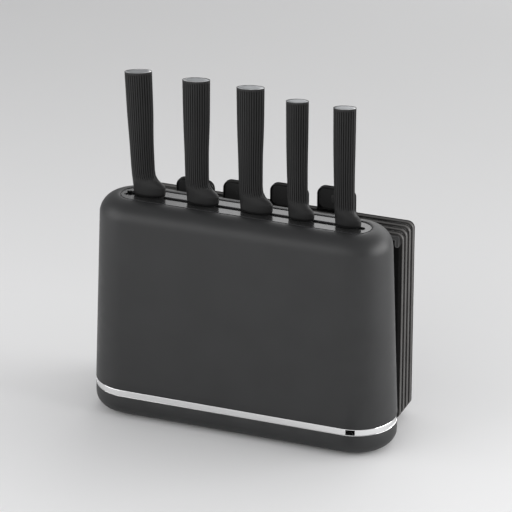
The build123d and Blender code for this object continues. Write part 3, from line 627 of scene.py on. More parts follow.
def slab(bm, outlines, profile, place):
    """Flat piece from outlines: the first is its edge, and the others are openings, the other way round.
    The profile lists (inset, height) from one face's rim to the other's."""
    ends = ([], [])
    for outline in outlines:
        rings = [[place(x, y, h) for x, y in inset_loop(outline, inset)] for inset, h in profile]
        loops = [[bm.verts.new(point) for point in ring] for ring in rings]
        walls(bm, loops)
        for end, loop in zip(ends, (loops[0], loops[-1])):
            end.extend(edges_of(bm, loop))
    for end in ends:
        bmesh.ops.triangle_fill(bm, edges=end, use_beauty=True)


# ---- Block ----

def shell_ring(inset, z):
    """The shell's tapered outline at a height, drawn in by inset."""
    rise = (z - SHELL_LOW.z) / (BLOCK_TOP - SHELL_LOW.z)
    return stadium(HALF_LENGTH - END_TAPER * rise - inset, HALF_DEPTH - FACE_TAPER * rise - inset, z)


def block_shell():
    """Tapered shell with its rounded shoulder, open below and stepped for the plate."""
    rings = [shell_ring(i, SHELL_LOW.z + h) for i, h in rounding(SEAM_ROUND)[::-1]]
    rings += [shell_ring(0, SHELL_LOW.z + rise) for rise in SHELL_RISES]
    shoulder_low = BLOCK_TOP - SHOULDER_RADIUS
    steps = 20
    for i in range(steps + 1):
        turn = math.pi / 2 * i / steps
        inset = SHOULDER_RADIUS * (1 - math.cos(turn))
        rings.append(shell_ring(inset, shoulder_low + SHOULDER_RADIUS * math.sin(turn)))
    lip = (PLATE_HALF_LENGTH + PLATE_GAP, PLATE_HALF_DEPTH + PLATE_GAP)
    for inset, drop in rounding(SEAM_ROUND)[::-1]:
        rings.append(stadium(lip[0] + inset, lip[1] + inset, BLOCK_TOP - drop))
    rings.append(stadium(*lip, BLOCK_TOP - PLATE_STEP))
    ledge = (lip[0] - PLATE_LEDGE, lip[1] - PLATE_LEDGE)
    rings.append(stadium(*ledge, BLOCK_TOP - PLATE_STEP))
    rings.append(stadium(*ledge, BLOCK_TOP - TOP_WALL))
    under = BLOCK_TOP - TOP_WALL
    inner_radius = SHOULDER_RADIUS - SHELL_WALL
    for i in range(steps + 1):
        turn = math.pi / 2 * (1 - i / steps)
        inset = SHELL_WALL + inner_radius * (1 - math.cos(turn))
        rings.append(shell_ring(inset, under - inner_radius + inner_radius * math.sin(turn)))
    rings.append(shell_ring(SHELL_WALL, SHELL_LOW.z))
    bm = bmesh.new()
    skin(bm, rings, closed=True)
    piece("block_shell_body", bm, "shell_plastic", "block", "block_shell")


def trim_band():
    """Bright band with softly rounded edges."""
    outer = (HALF_LENGTH - BAND_INSET, HALF_DEPTH - BAND_INSET)
    rings = []
    for inset, drop in rounding(BAND_EDGE_ROUND)[::-1]:
        rings.append(stadium(outer[0] - inset, outer[1] - inset, BAND_LOW.z + drop, arc_steps=48))
    for inset, drop in rounding(BAND_EDGE_ROUND):
        rings.append(stadium(outer[0] - inset, outer[1] - inset, BAND_HIGH.z - drop, arc_steps=48))
    inner = (HALF_LENGTH - SPIGOT_INSET + SEAM_ROUND, HALF_DEPTH - SPIGOT_INSET + SEAM_ROUND)
    rings.append(stadium(*inner, BAND_HIGH.z, arc_steps=48))
    rings.append(stadium(*inner, BAND_LOW.z, arc_steps=48))
    bm = bmesh.new()
    skin(bm, rings, closed=True)
    piece("bright_band", bm, "band_chrome", "block", "trim_band")


def base_shell():
    """Lower tray: rounded lower edge, thin seam at the band, spigot and hollow inside."""
    rings = []
    steps = 16
    top = BAND_LOW.z
    for i in range(steps + 1):
        turn = math.pi / 2 * i / steps
        inset = BASE_EDGE_RADIUS * (1 - math.sin(turn))
        z = BASE_LOW.z + BASE_EDGE_RADIUS * (1 - math.cos(turn))
        rings.append(stadium(HALF_LENGTH - inset, HALF_DEPTH - inset, z))
    rings.append(stadium(HALF_LENGTH, HALF_DEPTH, top - BASE_SEAM_DROP))
    for inset, drop in rounding(SEAM_ROUND):
        rings.append(stadium(HALF_LENGTH - inset, HALF_DEPTH - inset, top - drop))
    rings.append(stadium(HALF_LENGTH - SPIGOT_INSET, HALF_DEPTH - SPIGOT_INSET, top))
    rings.append(stadium(HALF_LENGTH - SPIGOT_INSET, HALF_DEPTH - SPIGOT_INSET, BASE_HIGH.z))
    rings.append(stadium(HALF_LENGTH - BASE_WALL, HALF_DEPTH - BASE_WALL, BASE_HIGH.z))
    floor = BASE_LOW.z + BASE_FLOOR
    hollow_edge = BASE_EDGE_RADIUS - BASE_WALL
    for i in range(steps + 1):
        turn = math.pi / 2 * (1 - i / steps)
        inset = BASE_WALL + hollow_edge * (1 - math.sin(turn))
        z = floor + hollow_edge * (1 - math.cos(turn))
        rings.append(stadium(HALF_LENGTH - inset, HALF_DEPTH - inset, z))
    bm = bmesh.new()
    skin(bm, rings)
    piece("base_tray", bm, "base_plastic", "block", "base_shell")


def slot_outline():
    """The slot's edge with its toothed left mouth, running clockwise."""
    left = -PLATE_HALF_LENGTH + SLOT_LEFT_MARGIN
    right = PLATE_HALF_LENGTH - SLOT_RIGHT_MARGIN
    half = SLOT_WIDTH / 2
    rear = [(left + x * MM, y * MM) for x, y in MOUTH_REAR]
    front = [(left + x * MM, y * MM) for x, y in MOUTH_FRONT]
    join_rear = [(rear[-1][0] + MOUTH_REAR_RUN, half)]
    join_front = [(front[0][0] + MOUTH_FRONT_RUN, -half)]
    return rear + join_rear + arc((right - half, 0), half, 90, -90, 14) + join_front + front


def plate_outline(inset):
    """The plate's edge about the block's centre line, drawn in by inset."""
    ring = stadium(PLATE_HALF_LENGTH - inset, PLATE_HALF_DEPTH - inset, 0, arc_steps=40)
    return [(point.x, point.y - BLOCK_Y) for point in ring]


def top_plate():
    """Satin plate with rounded edges, the long slot and a step under its rim."""
    rim_low = BLOCK_TOP - PLATE_STEP
    rim = [(PLATE_UNDER_ROUND, 0.0), (0.0, PLATE_UNDER_ROUND)]
    rim += [(inset, PLATE_STEP - drop) for inset, drop in rounding(PLATE_EDGE_ROUND)]
    step = [(0, 0), (0, rim_low - PLATE_LOW.z - PLATE_STEP_GAP)]
    bm = bmesh.new()
    slab(bm, [plate_outline(0), slot_outline()], rim, lambda x, y, h: Vector((x, BLOCK_Y + y, rim_low + h)))
    slab(bm, [plate_outline(PLATE_LEDGE), slot_outline()], step,
         lambda x, y, h: Vector((x, BLOCK_Y + y, PLATE_LOW.z + h)))
    piece("slotted_plate", bm, "plate_plastic", "block", "top_plate")


def rubber_feet():
    """Soft turned feet with a rounded tread edge."""
    low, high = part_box("rubber_feet")
    bm = bmesh.new()
    for x, y, radius in foot_rows():
        profile = [(radius * FOOT_DISH_SHARE, low.z + FOOT_DISH_DEPTH)]
        profile += [(radius - inset, low.z + rise) for inset, rise in FOOT_TREAD]
        profile.append((radius, high.z))
        skin(bm, [circle(x, y, r, z) for r, z in profile])
    piece("soft_feet", bm, "foot_rubber", "block", "rubber_feet")


def foot_rows():
    """Centre and radius of each foot, from the loose solids of the CAD node."""
    mesh = frame["nodes"]["rubber_feet"].data
    spots = {}
    for vertex in mesh.vertices:
        key = (round(vertex.co.x / FOOT_CELL), round(vertex.co.y / FOOT_CELL))
        spots.setdefault(key, []).append(vertex.co)
    merged = []
    for points in spots.values():
        centre = sum(points, Vector()) / len(points)
        near = next((m for m in merged if (m[0] - centre).length < FEET_APART), None)
        if near:
            near[1].extend(points)
        else:
            merged.append((centre, list(points)))
    rows = []
    for _, points in merged:
        xs = [p.x for p in points]
        ys = [p.y for p in points]
        rows.append(((min(xs) + max(xs)) / 2, (min(ys) + max(ys)) / 2, (max(xs) - min(xs)) / 2))
    return rows


# ---- Knives, each made with its handle's foot at the origin ----

def smooth_rows(rows, heights):
    """Spine and edge reaches at the given heights, on a smooth line without overshoot."""
    zs = np.array([r[0] for r in rows])
    columns = []
    for column in (1, 2):
        values = np.array([r[column] for r in rows])
        steps = np.diff(values) / np.diff(zs)
        slopes = np.zeros(len(zs))
        slopes[0], slopes[-1] = steps[0], steps[-1]
        for i in range(1, len(zs) - 1):
            if steps[i - 1] * steps[i] > 0:
                slopes[i] = 2 * steps[i - 1] * steps[i] / (steps[i - 1] + steps[i])
        span = np.clip(np.searchsorted(zs, heights, side="right") - 1, 0, len(zs) - 2)
        width = zs[span + 1] - zs[span]
        t = (heights - zs[span]) / width
        value = ((1 + 2 * t) * (1 - t) ** 2 * values[span] + t * (1 - t) ** 2 * width * slopes[span]
                 + t * t * (3 - 2 * t) * values[span + 1] + t * t * (t - 1) * width * slopes[span + 1])
        columns.append(value)
    return columns


def even_angles(half_width, half_thickness, count):
    """Angles that share an ellipse's edge into equal lengths."""
    dense = np.linspace(0, 2 * math.pi, 721)
    xs, ys = half_width * np.cos(dense), half_thickness * np.sin(dense)
    run = np.concatenate(([0], np.cumsum(np.hypot(np.diff(xs), np.diff(ys)))))
    return np.interp(np.arange(count) / count * run[-1], run, dense)


def oval_ring(spine_reach, edge_reach, half_thickness, z, inset, count, grooves=None):
    """Oval section of a handle, drawn in by inset and by a groove depth per point."""
    centre = (edge_reach - spine_reach) / 2
    half_width = (spine_reach + edge_reach) / 2
    angles = even_angles(half_width, half_thickness, count)
    ring = []
    for i, angle in enumerate(angles):
        depth = inset + (grooves[i] if grooves is not None else 0.0)
        normal = Vector((math.cos(angle) / half_width, math.sin(angle) / half_thickness)).normalized()
        x = half_width * math.cos(angle) - normal.x * depth
        y = half_thickness * math.sin(angle) - normal.y * depth
        ring.append(Vector((centre + x, y, z)))
    return ring


def sloped(rings, length):
    """Rings sheared more and more towards the handle's sloping end."""
    for ring in rings:
        for point in ring:
            share = min(1.0, max(0.0, (point.z - length + SLOPE_REACH) / (SLOPE_REACH - SLOPE_FULL)))
            point.z += CAP_SLOPE * point.x * share * share * (3 - 2 * share)
    return rings


def handle_rows(kind):
    """All rows of a handle in metres."""
    neck, grip, length = kind["neck"], kind["grip"], kind["length"]
    rows = list(neck) + [(share * length, a, b) for share, a, b in grip]
    return [tuple(value * MM for value in row) for row in rows]


def groove_shape(count, flutes):
    """Groove depth share at each point round the handle."""
    phase = (np.arange(count) * flutes / count) % 1.0
    away = np.abs(phase - 0.5)
    return np.where(away < FLUTE_HALF_SHARE, np.cos(away / FLUTE_HALF_SHARE * math.pi / 2) ** 2, 0.0)


def grip_sleeve(name, body, kind, stand):
    """Ribbed sleeve: flutes that fade out above the neck and stop under the rim."""
    rows = handle_rows(kind)
    length = rows[-1][0]
    half = kind["thickness"] * MM / 2
    count = kind["flutes"] * FLUTE_STEPS
    shape = groove_shape(count, kind["flutes"])
    heights = np.concatenate((np.linspace(NECK_HEIGHT, NECK_HEIGHT + 0.018, 20),
                              np.linspace(NECK_HEIGHT + 0.022, length - 0.003, 18),
                              [length - 0.0019, length - 0.0013, length - 0.0008]))
    rings = []
    spine, edge = smooth_rows(rows, heights)
    for z, a, b in zip(heights, spine, edge):
        rise = min(1.0, max(0.0, (z - NECK_HEIGHT - FLUTE_START) / FLUTE_RUN_IN))
        fade = min(1.0, max(0.0, (length - FLUTE_END - z) / FLUTE_RUN_OUT))
        grooves = shape * FLUTE_DEPTH * rise * rise * (3 - 2 * rise) * fade
        rings.append(oval_ring(a, b, half, z, 0.0, count, grooves))
    a, b = rows[-1][1:]
    for inset, drop in rounding(SLEEVE_RIM_ROUND, 3):
        rings.append(oval_ring(a, b, half, length - drop, inset, count))
    rings.append(oval_ring(a, b, half, length - CAP_RECESS, CAP_LIP, count))
    seat = length - CAP_THICKNESS - CAP_RECESS
    rings.append(oval_ring(a, b, half, seat, CAP_LIP, count))
    for z in [seat] + [NECK_HEIGHT + rise for rise in SLEEVE_INNER_RISES]:
        inner_spine, inner_edge = smooth_rows(rows, np.array([z]))
        rings.append(oval_ring(inner_spine[0], inner_edge[0], half, z, SLEEVE_WALL, count))
    bm = bmesh.new()
    skin(bm, sloped(rings, length), closed=True)
    bm.transform(stand)
    piece(name + "_ribbed_sleeve", bm, "sleeve_rubber", body, name + "_grip_sleeve")


def handle_core(name, body, kind, stand):
    """Smooth neck with its guard, and the core inside the sleeve."""
    rows = handle_rows(kind)
    length = rows[-1][0]
    half = kind["thickness"] * MM / 2
    rings = []
    a, b = rows[0][1:]
    for inset, drop in rounding(NECK_FOOT_ROUND, 5)[::-1]:
        rings.append(oval_ring(a, b, half, drop, inset, OVAL_STEPS))
    heights = np.linspace(NECK_FOOT_ROUND + 0.0008, NECK_HEIGHT, 26)
    spine, edge = smooth_rows(rows, heights)
    for z, a, b in zip(heights, spine, edge):
        rings.append(oval_ring(a, b, half, z, 0.0, OVAL_STEPS))
    top = length - CAP_THICKNESS - CAP_RECESS - MOULD_GAP
    heights = np.linspace(NECK_HEIGHT, top, 8)
    spine, edge = smooth_rows(rows, heights)
    for z, a, b in zip(heights, spine, edge):
        rings.append(oval_ring(a, b, half, z, SLEEVE_WALL + MOULD_GAP, OVAL_STEPS))
    bm = bmesh.new()
    skin(bm, sloped(rings, length))
    bm.transform(stand)
    piece(name + "_neck", bm, "neck_plastic", body, name + "_handle_core")


def end_cap(name, body, kind, stand):
    """Flat sloping steel cap with a rounded rim."""
    rows = handle_rows(kind)
    length, spine, edge = rows[-1]
    half = kind["thickness"] * MM / 2
    inset = CAP_LIP + MOULD_GAP
    rings = [oval_ring(spine, edge, half, length - CAP_THICKNESS - CAP_RECESS, inset, OVAL_STEPS)]
    for more, drop in rounding(CAP_EDGE_ROUND):
        rings.append(oval_ring(spine, edge, half, length - drop, inset + more, OVAL_STEPS))
    middle = (edge - spine) / 2
    face = oval_ring(spine, edge, half, length, inset + CAP_EDGE_ROUND, OVAL_STEPS)
    for kept in (0.88, 0.6, 0.3):
        rings.append([Vector((middle + (p.x - middle) * kept, p.y * kept, p.z)) for p in face])
    bm = bmesh.new()
    skin(bm, sloped(rings, length))
    bm.transform(stand)
    piece(name + "_steel_cap", bm, "cap_steel", body, name + "_end_cap")


def quadratic(first, bend, last, steps=40):
    """Points of a quadratic curve."""
    points = []
    for i in range(steps + 1):
        t = i / steps
        points.append(tuple((1 - t) ** 2 * p + 2 * t * (1 - t) * q + t * t * r
                            for p, q, r in zip(first, bend, last)))
    return points


def blade(name, body, kind, stand, form):
    """Ground blade: rounded spine, long flat grind, fine edge bevel, and a tang in the handle."""
    low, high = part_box(name + "_blade")
    thickness = high.y - low.y
    rows = handle_rows(kind)
    foot_spine, foot_edge = rows[0][1:]
    length, width, heel, tip_share, belly, pitch = form
    spine_x = SPINE_INSET - foot_spine
    edge_x = spine_x + width
    tip = (spine_x + tip_share * width, -length)
    root_x = min(foot_edge - GUARD_OVERHANG, edge_x)
    spine_line = [(spine_x, 0.0)] + quadratic((spine_x, -0.7 * length), (spine_x, -0.88 * length), tip)
    edge_line = quadratic((root_x, 0.0), (root_x, -heel * 0.9), (edge_x, -heel))
    edge_line += quadratic((edge_x, -belly * length), (edge_x - 0.08 * width, -0.86 * length), tip)
    steps = int(length / (SERRATED_STEP if pitch else PLAIN_STEP))
    shares = [i / steps if pitch else math.sin(math.pi / 2 * i / steps) for i in range(steps)]
    rings = []
    for z in (TANG_SHARE * rows[-1][0], TANG_FOOT):
        rings.append(blade_ring(-TANG_OFFSET - TANG_HALF_WIDTH, -TANG_OFFSET + TANG_HALF_WIDTH, z, thickness,
                                square=True))
    for depth in [length * share for share in shares]:
        x0 = reach_at(spine_line, depth)
        x1 = reach_at(edge_line, depth)
        if pitch and depth > heel * 1.4:
            room = min(1.0, (length - depth) / SERRATION_FADE)
            x1 -= SERRATION_DEPTH * room * (1 - abs(math.sin(math.pi * depth / pitch))) ** 1.6
        rings.append(blade_ring(x0, max(x1, x0 + LEAST_WIDTH), -depth, thickness))
    rings.append(blade_ring(tip[0] - TIP_HALF_WIDTH, tip[0] + TIP_HALF_WIDTH, -length,
                            thickness * TIP_THIN_SHARE))
    bm = bmesh.new()
    skin(bm, rings)
    bm.transform(stand)
    piece(name + "_ground_blade", bm, "blade_steel", body, name + "_blade")


def reach_at(line, depth):
    """A line's x at a depth below the handle."""
    return float(np.interp(depth, [-z for _, z in line], [x for x, _ in line]))


def blade_ring(x0, x1, z, thickness, square=False):
    """Section of the blade, or of the square tang, from spine to edge and back."""
    side = [(x0 + (x1 - x0) * share, thickness / 2 * (1.0 if square else part))
            for share, part in BLADE_SECTION]
    return [Vector((x, y, z)) for x, y in side] + [Vector((x, -y, z)) for x, y in reversed(side)]


def knives():
    """All five knives, each stood on the plate and turned to its own way out."""
    ways = {joint["child"]: Vector(joint["axis"]) for joint in frame["joints"]}
    places = {}
    for name, kind, _ in KNIVES:
        places[name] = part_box(name + "_handle_core")[1].x - kind["neck"][0][2] * MM
    pitch = places["carving_knife"] - places["chef_knife"]
    places["bread_knife"] = places["chef_knife"] - pitch
    foot_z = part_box("chef_knife_handle_core")[0].z
    for name, kind, form in KNIVES:
        foot = kind["neck"][0][1] * MM
        lean = math.atan2(ways[name].x, ways[name].z)
        stand = (Matrix.Translation((places[name] - foot, BLOCK_Y, foot_z)) @ Matrix.Rotation(lean, 4, "Y")
                 @ Matrix.Translation((foot, 0, 0)))
        handle_core(name, name, kind, stand)
        grip_sleeve(name, name, kind, stand)
        end_cap(name, name, kind, stand)
        blade(name, name, kind, stand, form)


# ---- Boards ----

def board_outline(box_low, box_high, label_low, label_high):
    """Board's edge with its tab, anticlockwise seen from the front."""
    left, right, tab_top = box_low.x, box_high.x, box_high.z
    border = TAB_BORDER + LABEL_GAP
    tab_left, tab_right = label_low.x - border, label_high.x + border
    corner, tab_corner, fillet = BOARD_CORNER, TAB_CORNER, TAB_FILLET
    outline = arc((left + corner, box_low.z + corner), corner, 180, 270, 8)
    outline += arc((right - corner, box_low.z + corner), corner, 270, 360, 8)
    outline += arc((right - corner, BOARD_TOP - corner), corner, 0, 90, 8)
    outline += arc((tab_right + fillet, BOARD_TOP + fillet), fillet, 270, 180, 5)
    outline += arc((tab_right - tab_corner, tab_top - tab_corner), tab_corner, 0, 90, 10)
    outline += arc((tab_left + tab_corner, tab_top - tab_corner), tab_corner, 90, 180, 10)
    outline += arc((tab_left - fillet, BOARD_TOP + fillet), fillet, 360, 270, 5)
    outline += arc((left + corner, BOARD_TOP - corner), corner, 90, 180, 8)
    return outline


def rounded_rectangle(x0, x1, z0, z1, radius, steps=8):
    """Rounded rectangle, anticlockwise."""
    outline = arc((x0 + radius, z0 + radius), radius, 180, 270, steps)
    outline += arc((x1 - radius, z0 + radius), radius, 270, 360, steps)
    outline += arc((x1 - radius, z1 - radius), radius, 0, 90, steps)
    outline += arc((x0 + radius, z1 - radius), radius, 90, 180, steps)
    return outline


def pad_outline(side_x, side_z, far_x, far_z):
    """L-shaped pad with round ends in one corner, as (x, z) from the corner inwards."""
    r = PAD_WIDTH / 2
    points = arc((r, r), r, 180, 270, 6)
    points += arc((PAD_LENGTH - r, r), r, 270, 450, 10)
    points += arc((PAD_WIDTH + PAD_FILLET, PAD_WIDTH + PAD_FILLET), PAD_FILLET, 270, 180, 4)
    points += arc((r, PAD_HEIGHT - r), r, 0, 180, 10)
    placed = [(far_x + side_x * x, far_z + side_z * z) for x, z in points]
    return placed if side_x * side_z > 0 else placed[::-1]


def pad_outlines(name):
    """The four pads' outlines on one board."""
    low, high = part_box(name + "_corner_grips")
    corners = [(1, 1, low.x, low.z), (-1, 1, high.x, low.z), (-1, -1, high.x, high.z), (1, -1, low.x, high.z)]
    return [pad_outline(*corner) for corner in corners]


def both_rims(radius, thickness, steps=4):
    """Profile of a slab's two rounded edges, from one face to the other."""
    edge = rounding(radius, steps)
    return edge[::-1], [(inset, thickness - drop) for inset, drop in edge]


def board(name, index):
    """One board: panel with a seamed rim and tab recess, label with its sign, and corner pads."""
    box_low, box_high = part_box(name + "_panel")
    label_low, label_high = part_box(name + "_tab_label")
    outline = board_outline(box_low, box_high, label_low, label_high)
    thickness = box_high.y - box_low.y
    middle = thickness / 2
    front_rim, back_rim = both_rims(BOARD_ROUND, thickness)
    seam = [(0.0, middle - SEAM_HALF_WIDTH), (SEAM_DEPTH, middle - SEAM_FLOOR_HALF),
            (SEAM_DEPTH, middle + SEAM_FLOOR_HALF), (0.0, middle + SEAM_HALF_WIDTH)]
    bm = bmesh.new()
    panel_mesh(bm, outline, front_rim + seam + back_rim, name, label_low, label_high, box_low.y)
    piece(name + "_body", bm, "board_plastic", name, name + "_panel")
    tab_label(name, index, label_low, label_high)
    corner_pads(name)


def panel_mesh(bm, outline, rim, name, label_low, label_high, face_y):
    """The panel's rim, its pad openings and its label pocket."""
    def built(edge, profile):
        rings = [[bm.verts.new((x, face_y + depth, z)) for x, z in inset_loop(edge, inset)]
                 for inset, depth in profile]
        walls(bm, rings)
        return edges_of(bm, rings[0]), edges_of(bm, rings[-1])

    thickness = rim[-1][1]
    opening_rim = [(PAD_OPENING_ROUND, 0.0), (0.0, PAD_OPENING_ROUND),
                   (0.0, thickness - PAD_OPENING_ROUND), (PAD_OPENING_ROUND, thickness)]
    fronts, backs = built(outline, rim)
    for pad in pad_outlines(name):
        front, back = built(pad[::-1], opening_rim)
        fronts += front
        backs += back
    pocket = rounded_rectangle(label_low.x - LABEL_GAP, label_high.x + LABEL_GAP, label_low.z - LABEL_GAP,
                               label_high.z + LABEL_GAP, TAB_CORNER - TAB_BORDER)
    pocket_edge, pocket_floor = built(pocket[::-1], POCKET_RIM)
    for loop in (fronts + pocket_edge, backs, pocket_floor):
        bmesh.ops.triangle_fill(bm, edges=loop, use_beauty=True)


def leaf_sign():
    """Broad leaf with a stalk."""
    right = quadratic((0.0, -0.6), (0.85, -0.2), (0.15, 0.9), 12)
    left = quadratic((0.15, 0.9), (-0.75, 0.35), (0.0, -0.6), 12)
    stalk = [(-0.16, -0.95), (-0.02, -0.95), (0.06, -0.68), (-0.05, -0.68)]
    return [right + left[1:-1], stalk]


def fish_sign():
    """Plain fish with a forked tail."""
    body = quadratic((-0.35, 0.0), (0.35, -0.75), (0.95, 0.0), 12)
    body += quadratic((0.95, 0.0), (0.35, 0.75), (-0.35, 0.0), 12)[1:-1]
    tail = [(-0.45, 0.0), (-0.95, -0.42), (-0.82, 0.0), (-0.95, 0.42)]
    return [body, tail]


def loaf_sign():
    """Loaf with a rounded top."""
    outline = [(-0.7, -0.6), (0.7, -0.6), (0.7, 0.05)]
    outline += quadratic((0.7, 0.05), (1.05, 0.75), (0.3, 0.7), 10)[1:]
    outline += quadratic((-0.3, 0.7), (-1.05, 0.75), (-0.7, 0.05), 10)
    return [outline]


def drop_sign():
    """Joint of meat drawn as a rounded drop with a bone."""
    outline = arc((0.15, 0.15), 0.62, -140, 130, 18)
    bone = [(-0.42, -0.30), (-0.88, -0.70), (-0.72, -0.88), (-0.30, -0.46)]
    return [outline, bone]


SIGNS = [drop_sign, fish_sign, leaf_sign, loaf_sign]


def tab_label(name, index, low, high):
    """Label plate with rounded edges and a low relief sign."""
    outline = rounded_rectangle(low.x, high.x, low.z, high.z, TAB_CORNER - TAB_BORDER - LABEL_GAP)
    thickness = high.y - low.y
    profile = [(0.0, 0.0)] + both_rims(LABEL_EDGE_ROUND, thickness, 3)[1]
    sign_edge = [(inset, thickness + height) for inset, height in SIGN_EDGE]
    middle_x = (low.x + high.x) / 2
    middle_z = (low.z + high.z) / 2

    def place(x, z, height):
        return Vector((x, high.y - height, z))

    bm = bmesh.new()
    slab(bm, [outline], profile, place)
    for shape in SIGNS[index]():
        points = [(middle_x + SIGN_SIZE * x, middle_z + SIGN_SIZE * z) for x, z in shape]
        slab(bm, [points], sign_edge, place)
    piece(name + "_sign_plate", bm, "label_plastic", name, name + "_tab_label")


def corner_pads(name):
    """Soft pads, proud of both faces, with a raised bead round a lower middle."""
    low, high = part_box(name + "_corner_grips")
    thickness = high.y - low.y
    profile = PAD_BEAD[::-1] + [(inset, thickness - drop) for inset, drop in PAD_BEAD]
    bm = bmesh.new()
    for outline in pad_outlines(name):
        slab(bm, [outline], profile, lambda x, z, h: Vector((x, low.y + h, z)))
    piece(name + "_soft_corners", bm, "corner_rubber", name, name + "_corner_grips")


def boards():
    """All four boards."""
    for index, name in enumerate(BOARDS):
        board(name, index)


# ---- Rack ----

def upright(bm, front, back, bottom, top, corner):
    """Upright wall as long as the rack, with rounded top corners and edges."""
    low_edge, high_edge = both_rims(RACK_EDGE_ROUND, back - front)
    outline = [(RACK_LOW.x, bottom), (RACK_HIGH.x, bottom)]
    outline += arc((RACK_HIGH.x - corner, top - corner), corner, 0, 90, 10)
    outline += arc((RACK_LOW.x + corner, top - corner), corner, 90, 180, 10)
    slab(bm, [outline], low_edge + high_edge, lambda x, z, h: Vector((x, front + h, z)))


def rack():
    """Rack tray: front wall, tall rear wall, floor, and a collar over each of its feet."""
    low, high = RACK_LOW, RACK_HIGH
    bm = bmesh.new()
    upright(bm, low.y, low.y + RACK_FRONT_WALL, RACK_UNDERSIDE, RACK_FRONT_TOP, RACK_FRONT_CORNER)
    upright(bm, high.y - RACK_REAR_WALL, high.y, RACK_UNDERSIDE, high.z, RACK_CORNER)
    front, back = low.y + RACK_FLOOR_INSET, high.y - RACK_FLOOR_INSET
    floor_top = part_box("front_board_panel")[0].z - BOARD_REST_GAP
    rim = rounding(RACK_EDGE_ROUND)[::-1] + [(0, floor_top - RACK_UNDERSIDE)]
    slab(bm, [[(low.x, front), (high.x, front), (high.x, back), (low.x, back)]], rim,
         lambda x, y, h: Vector((x, y, RACK_UNDERSIDE + h)))
    for x, y, radius in foot_rows():
        if y > low.y:
            skin(bm, [circle(x, y, radius + out, z) for out, z in FOOT_COLLAR])
    piece("rack_body", bm, "rack_plastic", "block", "rack_tray")


def rack_fins():
    """The upright fins between the boards."""
    low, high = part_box("rack_dividers")
    thickness = high.y - low.y - (FIN_COUNT - 1) * FIN_PITCH
    bm = bmesh.new()
    for fin in range(FIN_COUNT):
        front = low.y + fin * FIN_PITCH
        upright(bm, front, front + thickness, low.z, high.z, RACK_CORNER)
    piece("rack_fins", bm, "rack_plastic", "block", "rack_dividers")


# ---- Carried-over CAD nodes ----

def finish_hidden_nodes():
    """Gives the pieces inside the block their finishes."""
    slots = {row["node"]: row["material_slot"] for row in frame["record"]["subparts"]}
    for name, node in frame["nodes"].items():
        if not node.hide_render:
            node.data.materials.clear()
            node.data.materials.append(FINISHES[slots[name]])


# ---- Stage, light and camera ----

def stage_card(name, corners, material):
    """Flat card or floor that belongs to the stage."""
    mesh = bpy.data.meshes.new(name)
    mesh.from_pydata(corners, [], [(0, 1, 2, 3)])
    mesh.materials.append(material)
    card = bpy.data.objects.new(name, mesh)
    bpy.context.scene.collection.objects.link(card)
    return card


def floor():
    """Wide pale floor, with a painted fall of light: paler at the front and darker towards the back."""
    material, tree, shader = blank_material("pale_floor", Specular_IOR_Level=0.2)
    place = object_point(tree)
    depth = add(tree, "ShaderNodeSeparateXYZ", {"Vector": place}).outputs["Y"]
    mottle = math_node(tree, "MULTIPLY", noise(tree, place, 6.0), 0.02)
    # Painted light: the floor's colour runs from pale in front to darker behind, standing in for the light falling
    # off across it.
    painted_light_falloff = math_node(tree, "ADD", scaled(tree, depth, FLOOR_NEAR, FLOOR_FAR), mottle)
    tree.links.new(blend_colours(tree, painted_light_falloff, grey(0.96), grey(0.53)), shader.inputs["Base Color"])
    unevenness = scaled(tree, noise(tree, place, 300.0), 0.3, 0.7, 0.7, 0.8)
    tree.links.new(unevenness, shader.inputs["Roughness"])
    corners = [(a * FLOOR_REACH, b * FLOOR_REACH, 0) for a, b in SQUARE]
    stage_card("floor", corners, material)


def softbox(name, place, size, power):
    """Rectangular soft light that faces the object."""
    light = bpy.data.lights.new(name, "AREA")
    light.shape = "RECTANGLE"
    light.size, light.size_y = size
    light.energy = power
    lamp = bpy.data.objects.new(name, light)
    lamp.location = place
    lamp.rotation_euler = (Vector(LIT_POINT) - Vector(place)).to_track_quat("-Z", "Y").to_euler()
    bpy.context.scene.collection.objects.link(lamp)


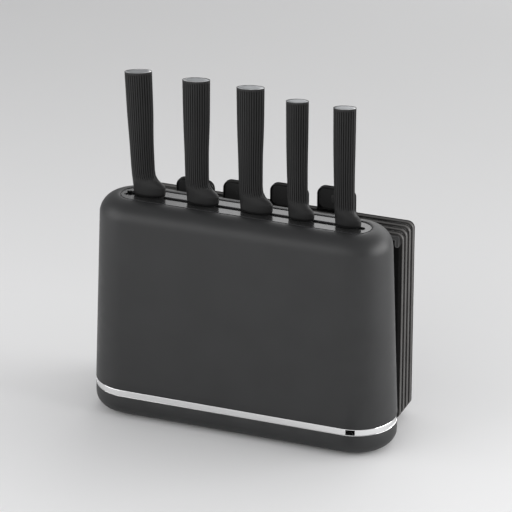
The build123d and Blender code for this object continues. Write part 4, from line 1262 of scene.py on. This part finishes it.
def lighting():
    """Even pale surround, with soft lights behind, above, in front and at both sides."""
    world = bpy.data.worlds.new("studio")
    world.use_nodes = True
    surround = world.node_tree.nodes["Background"]
    surround.inputs["Color"].default_value = AMBIENT
    surround.inputs["Strength"].default_value = AMBIENT_STRENGTH
    bpy.context.scene.world = world
    for row in SOFTBOXES:
        softbox(*row)


def dark_flag():
    """Small dark card low in front of the right end, which the view sees only as a reflection."""
    material, tree, shader = blank_material("flag_black", Specular_IOR_Level=0.0)
    tree.links.new(blend_colours(tree, noise(tree, object_point(tree), 80.0), grey(0.003), grey(0.006)),
                   shader.inputs["Base Color"])
    middle = Vector((HALF_LENGTH - HALF_DEPTH + FLAG_RIGHT, BLOCK_Y - HALF_DEPTH - FLAG_AHEAD, FLAG_HEIGHT))
    corners = [middle + Vector((a * FLAG_HALF_WIDTH, 0, b * FLAG_HALF_HEIGHT)) for a, b in SQUARE]
    flag = stage_card("dark_flag", corners, material)
    flag.visible_camera = False
    flag.visible_diffuse = False
    flag.visible_shadow = False


def camera():
    """Long-lens view from the front, right and above."""
    side, rise = math.sin(VIEW_AZIMUTH), math.sin(VIEW_ELEVATION)
    forth, level = math.cos(VIEW_AZIMUTH), math.cos(VIEW_ELEVATION)
    right = Vector((forth, side, 0))
    ahead = Vector((-side * level, forth * level, -rise))
    up = right.cross(ahead)
    aim = Vector((0, BLOCK_Y, AIM_HEIGHT)) + right * AIM_RIGHT + up * AIM_UP
    lens = bpy.data.cameras.new("view")
    lens.lens = FOCAL_LENGTH
    lens.clip_end = CLIP_DISTANCE
    seat = bpy.data.objects.new("view", lens)
    turn = Matrix((right, up, -ahead)).transposed().to_4x4()
    seat.matrix_world = Matrix.Translation(aim - ahead * VIEW_DISTANCE) @ turn
    bpy.context.scene.collection.objects.link(seat)
    bpy.context.scene.camera = seat
    bpy.context.scene.view_settings.view_transform = "Standard"


# ---- The whole scene ----

block_shell()
trim_band()
base_shell()
top_plate()
rubber_feet()
rack()
rack_fins()
knives()
boards()
finish_hidden_nodes()
floor()
lighting()
dark_flag()
camera()
